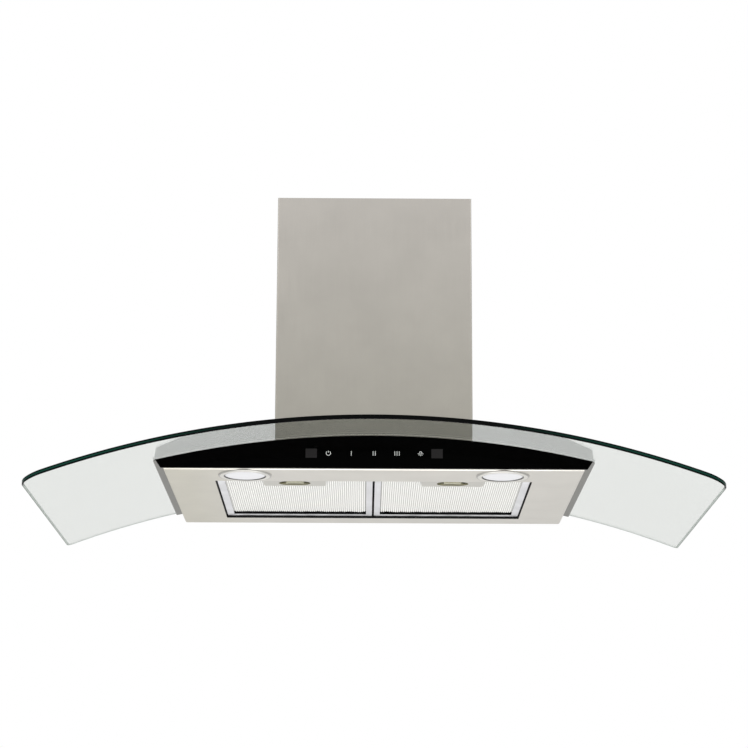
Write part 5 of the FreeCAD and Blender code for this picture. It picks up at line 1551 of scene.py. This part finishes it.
@dataclass
class GlassCanopy(SubAssembly):
    """Arched glass with its seat, the steel cover under it and the screws that hold it.

    Attributes:
        half: Half the width of the glass.
        front: Front edge.
        rear: Rear edge.
        front_corner: Radius of the front corners.
        rear_corner: Radius of the rear corners.
        polish: Size of the polished rounding of its edges.
        opening: Opening for the blower.
        hole: Radius of a screw hole.
        seat_radius: Radius of the underside of the foam seat.
        seat_outline: Outline of the seat.
        seat_opening: Opening of the seat, which leaves a strip all round.
        cover_radius: Radius of the underside of the steel cover.
        cover_outline: Outline of the cover.
        cover_opening: Its opening for the blower.
        cover_hole: Radius of a screw hole in it.
        sheet: Thickness of the seat and of the cover.
        screws: Places of the screws, as half the spacing and the two depths.
        washer_z: Height of the washers.
        screw_z: Height of the feet of the screws' heads.
        shank: Length of a screw's shank.
        arch_angle: Smallest angle of an edge that stays sharp on an arched sheet, in degrees.
    """

    half: float = 0.45
    front: float = -0.481
    rear: float = -0.001
    front_corner: float = 0.028
    rear_corner: float = 0.008
    polish: float = 0.0011
    opening: Opening = ((-0.102, -0.22), (0.102, -0.03), 0.01)
    hole: float = 0.004
    seat_radius: float = 1.2489
    seat_outline: Outline = ((-0.289, -0.384), (0.289, -0.003), 0.002, 0.002)
    seat_opening: Opening = ((-0.277, -0.372), (0.277, -0.015), 0.002)
    cover_radius: float = 1.2478
    cover_outline: Outline = ((-0.29, -0.386), (0.29, -0.001), 0.0015, 0.0015)
    cover_opening: Opening = ((-0.098, -0.216), (0.098, -0.034), 0.003)
    cover_hole: float = 0.0028
    sheet: float = 0.001
    screws: tuple[float, float, float] = (0.07, -0.229, -0.021)
    washer_z: float = -0.1368
    screw_z: float = -0.135
    shank: float = 0.02
    arch_angle: float = 14.0

    def screw_holes(self, radius: float) -> tuple[tuple[float, float, float], ...]:
        """The four screw holes, with their radius."""
        aside, near, far = self.screws
        return tuple((x, y, radius) for x in (-aside, aside) for y in (near, far))

    def arched(self, name: str, sheet: Sheet, radius: float, finish: Finish, edge: Finish) -> Solid:
        """Bends a sheet under an arch.

        Args:
            name: Name of the piece.
            sheet: The flat sheet.
            radius: Radius of its underside.
            finish: Its surface.
            edge: Finish of its edges.

        Returns:
            The arched sheet.
        """
        values = {"Radius": radius, "Centre Height": ARCH_CENTRE_Z}
        finishes = {"Finish": finish, "Edge Finish": edge}
        return self.trees.sheet.grow(sheet.flat(name), {**values, **finishes}, self.arch_angle)

    def canopy(self) -> Solid:
        """The glass itself.

        Returns:
            The arched glass.
        """
        low, high = (-self.half, self.front), (self.half, self.rear)
        outline = (low, high, self.front_corner, self.rear_corner)
        holes = self.screw_holes(self.hole)
        sheet = Sheet(outline, (self.opening,), holes, GLASS_THICK, self.polish)
        return self.arched("glass_canopy.shaped", sheet, GLASS_RADIUS, PALETTE.glass, PALETTE.edge)

    def seat(self) -> Solid:
        """Foam strip that the glass lies on.

        Returns:
            The arched strip, which runs round like a frame.
        """
        sheet = Sheet(self.seat_outline, (self.seat_opening,), (), self.sheet, 0.0001)
        name, foam = "glass_gasket.shaped", PALETTE.foam
        return self.arched(name, sheet, self.seat_radius, foam, foam)

    def cover(self) -> Solid:
        """Steel sheet on top of the tray, which stands out at its sides.

        Returns:
            The arched sheet.
        """
        holes = self.screw_holes(self.cover_hole)
        sheet = Sheet(self.cover_outline, (self.cover_opening,), holes, self.sheet, 0.00015)
        name, finishes = "body_top_cover.shaped", (PALETTE.cover, PALETTE.cover_edge_shade)
        return self.arched(name, sheet, self.cover_radius, *finishes)

    def fixings(self) -> None:
        """Screws and washers that clamp the glass."""
        aside, near, far = self.screws
        steps = {"Step": (2 * aside, 0.0, 0.0), "Row Step": (0.0, far - near, 0.0)}
        places = {**steps, "Count": 2, "Rows": 2}
        profile = [(0.0028, -0.0025), (0.0076, -0.0025), (0.008, -0.0021)]
        profile += [(0.008, 0.0014), (0.0076, 0.0018), (0.0028, 0.0018)]
        washer = turned("glass_washers.shaped", profile, (0.0, 0.0, 0.0), steps=32)
        values = {**places, "Start": (-aside, near, self.washer_z), "Finish": PALETTE.rubber}
        washers = self.trees.grid.grow(washer, values)
        set_down(washers, "hood", "rubber_black", "glass_washers")
        screw = hexagon_screw("glass_screws.shaped", self.shank)
        values = {**places, "Start": (-aside, near, self.screw_z), "Finish": PALETTE.plated}
        screws = self.trees.grid.grow(screw, values)
        set_down(screws, "hood", "zinc_steel", "glass_screws")

    def build(self) -> None:
        """Builds the glass, its seat, the cover and the fixings."""
        set_down(self.canopy(), "hood", "glass", "glass_canopy")
        set_down(self.seat(), "hood", "gasket", "glass_gasket")
        set_down(self.cover(), "hood", "body_steel", "body_top_cover")
        self.fixings()


def hexagon_screw(name: str, length: float) -> Solid:
    """Hexagon-head screw that points down, with the foot of its head at height 0.

    Args:
        name: Name of the piece.
        length: Length of its shank.

    Returns:
        The screw.
    """
    crest, root, pitch = 0.0025, 0.0021, 0.002
    sides = [(0.0, 0.0), (0.0045, 0.0), (0.0045, 0.0022), (0.0036, 0.0028), (0.0, 0.0028)]
    head = turned("head", sides, (0.0, 0.0, 0.0), steps=6)
    threads = [(0.0, 0.0002), (crest, 0.0002)]
    for turn in range(1, int(length / pitch)):
        threads += [(crest, -turn * pitch + 0.0006), (root, -turn * pitch)]
    threads += [(crest, -length + 0.0012), (0.0012, -length), (0.0, -length)]
    shank = turned("shank", threads, (0.0, 0.0, 0.0), steps=16)
    for part in (head, shank):
        dressed(part, PALETTE.plated)
    return joined(name, [head, shank])


@dataclass
class TrayAssembly(SubAssembly):
    """Steel tray with its partition and the throat to the blower.

    Attributes:
        half: Half the width of its opening.
        front: Front edge of the opening.
        rear: Rear edge of the opening.
        sole: Height just above the tray's underside.
    """

    half: float = 0.2145
    front: float = -0.3125
    rear: float = -0.0385
    sole: float = -0.1897

    def tray(self) -> Solid:
        """The tray, with the inner walls of its opening in shadow black.

        Returns:
            The tray.
        """
        made = carried_over("body_tray", PALETTE.tray, 0.0002)
        made.data.materials.append(PALETTE.gap.material())
        for face in made.data.polygons:
            x, y, z = face.center
            inside = abs(x) < self.half and self.front < y < self.rear and z > self.sole
            if inside and abs(face.normal.z) < 0.5:
                face.material_index = 1
        return made

    def build(self) -> None:
        """Dresses the tray and what is fixed in it."""
        set_down(self.tray(), "hood", "body_steel", "body_tray")
        self.keep("front_room_wall", "hood", "galvanised", PALETTE.zinc_sheet)
        self.keep("throat_duct", "hood", "galvanised", PALETTE.zinc_sheet)


@dataclass
class ControlFascia(SubAssembly):
    """Black glass strip with its symbols, and the electronics behind it.

    Attributes:
        face: Front face of the glass.
        middle: Height of the symbols.
        proud: Thickness of the print.
        line: Width of a stroke.
        tall: Height of a symbol.
        pitch: Spacing of the symbols.
        bar_gap: Spacing of the bars of a speed.
        lamp_shift: How much further out the lamp symbol is.
        rays: Degrees of the lamp's rays, counter-clockwise from the right.
    """

    face: float = -0.39
    middle: float = -0.1685
    proud: float = 0.00006
    line: float = 0.00055
    tall: float = 0.0064
    pitch: float = 0.03
    bar_gap: float = 0.0029
    lamp_shift: float = 0.001
    rays: tuple[float, ...] = (-165, -128, -90, -52, -15)

    def stroke(self, shape: bmesh.types.BMesh, points: Sequence[Spot], width: float = 0.0) -> None:
        """Prints a line along points of the face.

        Args:
            shape: Shape that takes the stroke.
            points: Points along its middle, from the middle of the hood.
            width: Its width, or 0 for the usual one.
        """
        half = (width or self.line) / 2
        rims = []
        for index, (x, z) in enumerate(points):
            before, after = points[max(index - 1, 0)], points[min(index + 1, len(points) - 1)]
            way = Vector((after[0] - before[0], after[1] - before[1])).normalized()
            side = Vector((-way.y, way.x)) * half
            rims.append([(x + side.x, z + side.y), (x - side.x, z - side.y)])
        rows = []
        levels = (self.face - self.proud, self.face)
        for rim in rims:
            rows.append([shape.verts.new((x, y, self.middle + z)) for x, z in rim for y in levels])
        for first, second in zip(rows, rows[1:]):
            for low, high in ((0, 1), (1, 3), (3, 2), (2, 0)):
                shape.faces.new((first[low], first[high], second[high], second[low]))
        for row in (rows[0], rows[-1]):
            shape.faces.new((row[0], row[1], row[3], row[2]))

    def arc(self, x: float, z: float, radius: float, start: float, end: float) -> Loop:
        """Points of an arc; its angles are in degrees, counter-clockwise from the right."""
        angles = [math.radians(angle) for angle in even(start, end, 28)]
        return [(x + radius * math.cos(angle), z + radius * math.sin(angle)) for angle in angles]

    def symbols(self) -> Solid:
        """Power ring, three speeds and a lamp.

        Returns:
            The five symbols as one piece.
        """
        shape = bmesh.new()
        half = self.tall / 2
        power, lamp = -2 * self.pitch, 2 * self.pitch + self.lamp_shift
        self.stroke(shape, self.arc(power, 0.0, half - self.line / 2, 126, 414))
        self.stroke(shape, [(power, 0.0008), (power, half)])
        for speed in range(3):
            x = (speed - 1) * self.pitch
            for bar in range(speed + 1):
                aside = (bar - speed / 2) * self.bar_gap
                self.stroke(shape, [(x + aside, 0.0002 - half), (x + aside, half - 0.0002)])
        self.stroke(shape, self.arc(lamp, 0.0012, 0.0014, -60, 240))
        self.stroke(shape, [(lamp - 0.0008, -0.0006), (lamp + 0.0008, -0.0006)], 0.0005)
        for turn in self.rays:
            along, up = math.cos(math.radians(turn)), math.sin(math.radians(turn))
            ray = [(lamp + reach * along, 0.0006 + reach * up) for reach in (0.0023, 0.0037)]
            self.stroke(shape, ray, 0.0006)
        bmesh.ops.recalc_face_normals(shape, faces=shape.faces)
        return dressed(finished("fascia_symbols", shape), PALETTE.print)

    def build(self) -> None:
        """Dresses the fascia and the pieces behind it."""
        self.keep("front_fascia", "hood", "black_glass", PALETTE.fascia, 0.0004)
        for name in ("signal_window_left", "signal_window_right"):
            self.keep(name, "hood", "signal_window", PALETTE.signal, 0.0002)
        set_down(self.symbols(), "hood", "plastic_grey")
        self.keep("touch_board", "hood", "circuit_board", PALETTE.board, 0.0001)
        self.keep("touch_pads", "hood", "rubber_black", PALETTE.rubber, 0.0003)
        self.keep("control_box", "hood", "plastic_black", PALETTE.black, 0.0003)
        self.keep("control_box_lid", "hood", "plastic_black", PALETTE.black, 0.0003)


@dataclass
class Lamps(SubAssembly):
    """The two round lamps.

    Attributes:
        aside: Distance from the middle of the hood.
        depth: Place from the wall.
        sole: Height of the tray's underside.
        flange: Radius of the visible ring.
        tube: Radius of its tube.
        lens: Radius of the lens.
    """

    aside: float = 0.171
    depth: float = -0.35
    sole: float = -0.19
    flange: float = 0.0355
    tube: float = 0.0297
    lens: float = 0.0267

    def bezel(self, name: str, centre: Place) -> Solid:
        """Ring round the lens, with a turned step and a rolled lip, and painted shade on its outer
        edge and in its bore.

        Args:
            name: Name of the piece.
            centre: Middle of the lamp at the tray's underside.

        Returns:
            The ring.
        """
        bore = self.lens + 0.0002
        profile = [
            (bore, 0.0), (bore, -0.0011), (bore + 0.0005, -0.0017), (bore + 0.0012, -0.0018),
            (self.flange - 0.0022, -0.0018), (self.flange - 0.0014, -0.0018),
            (self.flange - 0.0005, -0.0013), (self.flange, -0.0005),
            (self.flange, 0.0), (self.tube, 0.0), (self.tube, 0.009), (self.tube - 0.0014, 0.009),
            (self.tube - 0.0014, 0.0),
        ]
        made = dressed(turned(name, profile, centre, steps=96), PALETTE.bezel)
        # Painted shade on the outer edge and in the bore of the ring.
        for finish in (PALETTE.bezel_edge_shade, PALETTE.bezel_bore_shade):
            made.data.materials.append(finish.material())
        for face in made.data.polygons:
            out = math.hypot(face.center.x - centre[0], face.center.y - centre[1])
            if face.center.z < self.sole and out > self.flange - 0.002:
                face.material_index = 1
            elif face.center.z < self.sole and out < bore + 0.001:
                face.material_index = 2
        return made

    def glass(self, name: str, centre: Place) -> Solid:
        """Opal lens, a little crowned.

        Args:
            name: Name of the piece.
            centre: Middle of the lamp at the tray's underside.

        Returns:
            The lens.
        """
        lens, rim = self.lens, self.tube - 0.0015
        profile = [(0.0, -0.0013), (0.012, -0.00128), (0.021, -0.0012), (lens - 0.0012, -0.0011)]
        profile += [(lens - 0.0002, -0.0006), (lens, 0.0), (rim, 0.0), (rim, 0.0015), (0.0, 0.0015)]
        return dressed(turned(name, profile, centre, steps=96), PALETTE.lens)

    def heat_sink(self, name: str, centre: Place) -> Solid:
        """Cast body with its cooling groove.

        Args:
            name: Name of the piece.
            centre: Middle of the lamp at the tray's underside.

        Returns:
            The body.
        """
        rim, core = self.tube - 0.0015, self.tube - 0.0065
        profile = [(0.0, 0.0015), (rim, 0.0015), (rim, 0.0059), (rim - 0.0003, 0.0062)]
        profile += [(core, 0.0062), (core, 0.0108), (rim - 0.0003, 0.0108), (rim, 0.0111)]
        profile += [(rim, 0.0151), (rim - 0.0004, 0.0155), (0.0, 0.0155)]
        return dressed(turned(name, profile, centre), PALETTE.casting)

    def build(self) -> None:
        """Builds both lamps."""
        for side, sign in (("left", -1), ("right", 1)):
            centre = (sign * self.aside, self.depth, self.sole)
            for node, slot, make in (
                (f"lamp_bezel_{side}", "lamp_trim", self.bezel),
                (f"lamp_lens_{side}", "lamp_lens", self.glass),
                (f"lamp_body_{side}", "cast_metal", self.heat_sink),
            ):
                set_down(make(f"{node}.shaped", centre), "hood", slot, node)


@dataclass
class GreaseFilter(SubAssembly):
    """One grease filter with its mesh, layers and latch.

    Attributes:
        side: Which of the two it is.
        sign: -1 for the left one and 1 for the right one.
        front: Front edge of the mesh.
        rear: Rear edge of the mesh, a little short of the frame.
        samples: Chords of a pleat.
        rows: Rows of the mesh from front to rear.
        latch_half: Half the width of the notch for the latch.
        latch_rows: Rows that the notch takes.
        floor: Height of the lowest pleats.
        pleat_height: Height of a pleat.
        ripple: How far the worn rear end strays.
        wire: Thickness of the mesh.
        layer_z: Heights between which the upper layers lie.
        fold_angle: Smallest angle of an edge that stays sharp on the mesh, in degrees.
        notch_gap: Gap between the latch and the upper layers.
        notch_depth: Depth of their notch for the latch.
        flank_x: Distance from the middle of the hood beyond which the frame is slimmer.
        slim: By how much it is.
        shade_x: Distance from the middle of the hood within which the frame's wall is in shade.
        shade_y: Depth behind which its rear wall is in shade.
        shade_z: Height above which it is.
        behind_y: Depths between which the strip behind the mesh lies.
        behind_z: Height above which it lies.
        rail_y: Depth behind which the faces of the rear rail look forward into the shade.
    """

    side: str = "left"
    sign: int = -1
    front: float = -0.3066
    rear: float = -0.0655
    samples: int = 6
    rows: int = 30
    latch_half: float = 0.0342
    latch_rows: int = 5
    floor: float = -0.1853
    pleat_height: float = 0.001
    ripple: float = 0.018
    wire: float = 0.0004
    layer_z: Spot = (-0.183, -0.1793)
    fold_angle: float = 70.0
    notch_gap: float = 0.0004
    notch_depth: float = 0.0405
    flank_x: float = 0.2115
    slim: float = 0.0012
    shade_x: float = 0.0018
    shade_y: float = -0.0445
    shade_z: float = -0.1865
    behind_y: Spot = (-0.0555, -0.0442)
    behind_z: float = -0.1856
    rail_y: float = -0.06

    def in_gap(self, face: bpy.types.MeshPolygon) -> bool:
        """Whether a face of the frame lies in the deep shade of a gap.

        Args:
            face: The face.

        Returns:
            True for the wall next to the other filter, the rear wall and what lies behind the mesh.
        """
        x, y, z = face.center
        wall = abs(x) < self.shade_x or (y > self.shade_y and z > self.shade_z)
        behind = self.behind_y[0] < y < self.behind_y[1] and z > self.behind_z
        rail = y > self.rail_y and face.normal.y < -0.5
        return (wall and abs(face.normal.z) < 0.5) or behind or rail

    def frame(self) -> Solid:
        """Folded frame, slimmer at its outer side, with the walls in its gaps in shadow black.

        Returns:
            The frame.
        """
        made = carried_over(f"filter_frame_{self.side}", PALETTE.frame, 0.00025)
        for point in made.data.vertices:
            if abs(point.co.x) > self.flank_x:
                point.co.x -= self.sign * self.slim
        made.data.materials.append(PALETTE.gap.material())
        for face in made.data.polygons:
            if self.in_gap(face):
                face.material_index = 1
        return made

    def mesh_grid(self, name: str) -> Solid:
        """Flat grid of the mesh, without the notch for the latch.

        Args:
            name: Name of the piece.

        Returns:
            The grid at height 0.
        """
        shape = bmesh.new()
        columns = PLEATS * self.samples
        centre = self.sign * FILTER_MIDDLE
        across = [centre + MESH_HALF * (2 * column / columns - 1) for column in range(columns + 1)]
        lines = []
        for y in even(self.front, self.rear, self.rows):
            lines.append([shape.verts.new((x, y, 0)) for x in across])
        for row in range(self.rows):
            for column in range(columns):
                x = MESH_HALF * (2 * (column + 0.5) / columns - 1)
                if row < self.latch_rows and abs(x) < self.latch_half:
                    continue
                near, far = lines[row], lines[row + 1]
                shape.faces.new((near[column], near[column + 1], far[column + 1], far[column]))
        for point in [point for point in shape.verts if not point.link_faces]:
            shape.verts.remove(point)
        return finished(name, shape)

    def pleated(self) -> Solid:
        """Lowest layer, folded into fine pleats.

        Returns:
            The pleated mesh.
        """
        values = {
            "Middle": self.sign * FILTER_MIDDLE, "Pitch": 2 * MESH_HALF / PLEATS,
            "Height": self.pleat_height, "Sheet": self.wire, "Floor": self.floor, "Rear": self.rear,
            "Ripple": self.ripple, "Seed": 3.0 + self.sign, "Finish": PALETTE.mesh,
        }
        seed = self.mesh_grid(f"filter_mesh_{self.side}.shaped")
        return self.trees.pleats.grow(seed, values, self.fold_angle)

    def layers(self) -> Solid:
        """Upper layers of the mesh, as one mat with a notch for the latch.

        Returns:
            The mat.
        """
        centre = self.sign * FILTER_MIDDLE
        left, right = centre - MESH_HALF, centre + MESH_HALF
        notch = self.latch_half + self.notch_gap
        back = self.front + self.notch_depth
        low, high = self.layer_z
        shape = bmesh.new()
        block(shape, (left, self.front, low), (centre - notch, back, high))
        block(shape, (centre + notch, self.front, low), (right, back, high))
        block(shape, (left, back, low), (right, self.rear, high))
        bmesh.ops.remove_doubles(shape, verts=shape.verts, dist=0.000001)
        made = finished(f"filter_core_{self.side}.shaped", shape)
        return eased(dressed(made, PALETTE.core), 0.0005)

    def build(self) -> None:
        """Builds the filter and its latch."""
        body, side = f"filter_{self.side}", self.side
        set_down(self.frame(), body, "filter_metal", f"filter_frame_{side}")
        set_down(self.pleated(), body, "filter_mesh", f"filter_mesh_{side}")
        set_down(self.layers(), body, "filter_mesh", f"filter_core_{side}")
        self.keep(f"latch_housing_{side}", body, "body_steel", PALETTE.latch, 0.00015)
        self.keep(f"latch_slider_{side}", f"latch_{side}", "plastic_grey", PALETTE.slider, 0.0002)
        self.keep(f"latch_spring_{side}", body, "spring_steel", PALETTE.spring)


@dataclass
class BlowerUnit(SubAssembly):
    """Box with its scroll, fan and motor, on the wall plate.

    Attributes:
        centre: Middle of the fan.
        wheel: Radius of the fan.
        half_width: Half the length of its blades.
        blades: Number of blades.
        chord: Width of a blade.
        curve: Radius of its outer face.
        thick: Its thickness.
        lead: Degrees that its outer edge is ahead.
        screw_places: Half the spacing of the screws, and their two depths.
        screw_z: Height of the feet of their heads.
        shank: Length of a screw's shank.
        capacitor_foot: Middle of the capacitor's foot.
    """

    centre: Place = (0.0, -0.129, -0.002)
    wheel: float = 0.085
    half_width: float = 0.045
    blades: int = 32
    chord: float = 0.0146
    curve: float = 0.012
    thick: float = 0.001
    lead: float = 24.0
    screw_places: tuple[float, float, float] = (0.1025, -0.185, -0.065)
    screw_z: float = -0.119
    shank: float = 0.007
    capacitor_foot: Place = (-0.094, -0.2228, -0.02)

    def blade(self) -> Solid:
        """One blade, hollow towards the turn, at the right distance from the axis.

        Returns:
            The blade.
        """
        half = self.chord / 2
        depth = math.sqrt(self.curve**2 - half**2)
        reach = math.asin(half / self.curve)
        sides = ((self.curve, -reach, reach), (self.curve - self.thick, reach, -reach))
        faces = []
        for curve, start, end in sides:
            turns = even(start, end, 6)
            faces += [(curve * math.sin(turn), depth - curve * math.cos(turn)) for turn in turns]
        lead = math.radians(self.lead)
        middle = self.wheel - half + 0.0003
        section = []
        for along, up in faces:
            across = middle + along * math.cos(lead) - up * math.sin(lead)
            section.append((across, along * math.sin(lead) + up * math.cos(lead)))
        shape = bmesh.new()
        ends = []
        for x in (-self.half_width, self.half_width):
            ends.append([shape.verts.new((x, y, z)) for y, z in section])
        left, right = ends
        for index in range(len(section)):
            shape.faces.new((left[index - 1], left[index], right[index], right[index - 1]))
        shape.faces.new(left)
        shape.faces.new(right)
        bmesh.ops.recalc_face_normals(shape, faces=shape.faces)
        return finished("impeller_blades", shape)

    def fan(self) -> None:
        """Fan wheel, its nut and the shaft."""
        values = {"Centre": self.centre, "Count": self.blades, "Finish": PALETTE.zinc_sheet}
        parts = [self.trees.wheel.grow(self.blade(), values)]
        out, inner, face = self.wheel + 0.0006, self.wheel - 0.007, self.half_width
        for sign in (-1, 1):
            ring = [(inner, sign * face), (out, sign * face), (out, sign * (face + 0.0012))]
            ring += [(out - 0.0004, sign * (face + 0.0015)), (inner, sign * (face + 0.0015))]
            parts.append(turned("ring", ring, self.centre, Line.ACROSS, 96))
        disc = [(0.00405, -0.009), (0.0115, -0.009), (0.012, -0.0085)]
        disc += [(0.012, -0.002), (0.0135, -0.001), (0.0719, -0.001)]
        disc += [(radius, -along) for radius, along in reversed(disc)]
        parts.append(turned("disc", disc, self.centre, Line.ACROSS, 96))
        for part in parts:
            dressed(part, PALETTE.zinc_sheet)
        set_down(joined("impeller.shaped", parts), "fan", "galvanised", "impeller")
        self.keep("impeller_nut", "fan", "zinc_steel", PALETTE.plated, 0.0003)
        rod = [(0.0, -0.019), (0.0035, -0.019), (0.004, -0.0185)]
        rod += [(0.004, 0.0245), (0.0035, 0.025), (0.0, 0.025)]
        shaft = turned("motor_shaft.shaped", rod, self.centre, Line.ACROSS, 32)
        set_down(dressed(shaft, PALETTE.plated), "fan", "zinc_steel", "motor_shaft")

    def motor(self) -> Solid:
        """Motor shell with its rolled seams.

        Returns:
            The shell.
        """
        profile = [(0.00405, 0.014), (0.0105, 0.014), (0.011, 0.0145), (0.011, 0.018)]
        profile += [(0.03, 0.018), (0.034, 0.0186), (0.0455, 0.0315), (0.046, 0.0325)]
        profile += [(0.046, 0.0405), (0.0448, 0.041), (0.0448, 0.0425), (0.046, 0.043)]
        profile += [(0.046, 0.0508), (0.0448, 0.0513), (0.0448, 0.0522), (0.046, 0.0527)]
        profile += [(0.046, 0.0615), (0.0455, 0.0625), (0.034, 0.0754), (0.03, 0.076)]
        profile += [(0.0, 0.076), (0.0, 0.026), (0.00405, 0.026)]
        return dressed(turned("motor.shaped", profile, self.centre, Line.ACROSS, 72), PALETTE.shell)

    def rings(self) -> Solid:
        """Tapered mouths of the two inlets.

        Returns:
            Both as one piece.
        """
        lip = [(0.08, 0.053), (0.0765, 0.0528), (0.0745, 0.051), (0.074, 0.047)]
        lip += [(0.075, 0.047), (0.0755, 0.0505), (0.0772, 0.0519), (0.08, 0.052)]
        parts = []
        for sign in (-1, 1):
            sides = [(radius, sign * along) for radius, along in lip]
            part = turned("mouth", sides, self.centre, Line.ACROSS, 96)
            parts.append(dressed(part, PALETTE.zinc_sheet))
        return joined("inlet_rings.shaped", parts)

    def capacitor(self) -> Solid:
        """Round capacitor with its rolled top edge.

        Returns:
            The capacitor.
        """
        profile = [(0.0, 0.0), (0.0132, 0.0), (0.014, 0.0008), (0.014, 0.0538)]
        profile += [(0.0134, 0.0548), (0.0124, 0.055), (0.0118, 0.0544), (0.005, 0.0544)]
        profile += [(0.005, 0.058), (0.0, 0.058)]
        made = turned("capacitor.shaped", profile, self.capacitor_foot, steps=48)
        return dressed(made, PALETTE.grey)

    def screws(self) -> None:
        """Screws through the floor of the box."""
        aside, near, far = self.screw_places
        values = {
            "Start": (-aside, near, self.screw_z), "Step": (2 * aside, 0.0, 0.0), "Count": 2,
            "Row Step": (0.0, far - near, 0.0), "Rows": 2, "Finish": PALETTE.plated,
        }
        screws = self.trees.grid.grow(hexagon_screw("blower_screws.shaped", self.shank), values)
        set_down(screws, "hood", "zinc_steel", "blower_screws")

    def build(self) -> None:
        """Builds the blower."""
        for node, edge in (
            ("wall_plate", 0.0003), ("blower_box", 0.0002), ("blower_top_plate", 0.0002),
            ("scroll_housing", 0.0),
        ):
            self.keep(node, "hood", "galvanised", PALETTE.zinc_sheet, edge)
        set_down(self.rings(), "hood", "galvanised", "inlet_rings")
        self.fan()
        set_down(self.motor(), "hood", "cast_metal", "motor")
        self.keep("motor_bracket", "hood", "galvanised", PALETTE.zinc_sheet, 0.0002)
        set_down(self.capacitor(), "hood", "plastic_grey", "capacitor")
        self.keep("capacitor_clip", "hood", "galvanised", PALETTE.zinc_sheet)
        self.screws()


@dataclass
class MainsWiring(SubAssembly):
    """Junction box on the roof of the blower box."""

    def build(self) -> None:
        """Dresses the junction box and what is in it."""
        self.keep("junction_box", "hood", "plastic_black", PALETTE.black, 0.0003)
        self.keep("junction_box_lid", "hood", "plastic_black", PALETTE.black, 0.0004)
        self.keep("terminal_block", "hood", "plastic_grey", PALETTE.grey, 0.0002)
        self.keep("cable_grommet", "hood", "rubber_black", PALETTE.rubber, 0.0003)


@dataclass
class AirOutlet(SubAssembly):
    """Adapter to the round duct with its two backdraft flaps.

    Attributes:
        axle_radius: Radius of the flaps' axle.
        axle_half: Half its length.
        axle_centre: Its middle.
    """

    axle_radius: float = 0.0015
    axle_half: float = 0.075
    axle_centre: Place = (0.0, -0.095, 0.16)

    def axle(self) -> Solid:
        """Thin round rod with eased ends.

        Returns:
            The rod.
        """
        radius, half = self.axle_radius, self.axle_half
        profile = [(0.0, -half), (radius - 0.0003, -half), (radius, -half + 0.0003)]
        profile += [(out, -along) for out, along in reversed(profile)]
        made = turned("damper_axle.shaped", profile, self.axle_centre, Line.ACROSS, 24)
        return dressed(made, PALETTE.plated)

    def build(self) -> None:
        """Builds the outlet."""
        self.keep("outlet_adapter", "hood", "plastic_black", PALETTE.black)
        set_down(self.axle(), "hood", "zinc_steel", "damper_axle")
        for name in ("front", "rear"):
            self.keep(f"damper_flap_{name}", f"flap_{name}", "plastic_black", PALETTE.black, 0.0002)


@dataclass
class ChimneyCovers(SubAssembly):
    """Outer and inner cover of the chimney with their fixings.

    Attributes:
        half: Half the width of the outer cover, where the screws' heads lie.
        screw_place: Middle between the two screws.
    """

    half: float = 0.1365
    screw_place: Place = (0.0, -0.034, -0.107)

    def screws(self) -> None:
        """Pan-head screws at the foot of the outer cover."""
        head = [(0.0, 0.0), (0.0046, 0.0), (0.0046, 0.0004)]
        head += [(0.0038, 0.0011), (0.002, 0.0014), (0.0, 0.0014)]
        shank = [(0.0, -0.008), (0.0025, -0.008), (0.0025, 0.0002), (0.0, 0.0002)]
        parts = []
        for sign in (-1, 1):
            for profile in (head, shank):
                sides = [(radius, sign * (self.half + along)) for radius, along in profile]
                part = turned("screw", sides, self.screw_place, Line.ACROSS, 24)
                parts.append(dressed(part, PALETTE.plated))
        set_down(joined("chimney_screws.shaped", parts), "hood", "zinc_steel", "chimney_screws")

    def build(self) -> None:
        """Dresses the covers and builds the screws."""
        self.keep("chimney_lower", "hood", "chimney_steel", PALETTE.chimney, 0.0002)
        self.keep("chimney_upper", "upper_chimney", "chimney_steel", PALETTE.chimney, 0.0002)
        self.keep("ceiling_bracket", "upper_chimney", "galvanised", PALETTE.zinc_sheet, 0.0002)
        self.keep("chimney_clips", "hood", "galvanised", PALETTE.zinc_sheet)
        self.screws()


def main() -> None:
    """Builds the studio and the hood."""
    logging.basicConfig(level=logging.INFO, format="%(name)s: %(message)s")
    Studio().build()
    trees = Trees()
    assemblies: list[SubAssembly] = [
        GlassCanopy(trees), TrayAssembly(trees), ControlFascia(trees), Lamps(trees),
        GreaseFilter(trees, "left", -1), GreaseFilter(trees, "right", 1), BlowerUnit(trees),
        AirOutlet(trees), MainsWiring(trees), ChimneyCovers(trees),
    ]
    for assembly in assemblies:
        LOG.info("building %s", type(assembly).__name__)
        assembly.build()


if __name__ == "__main__":
    main()
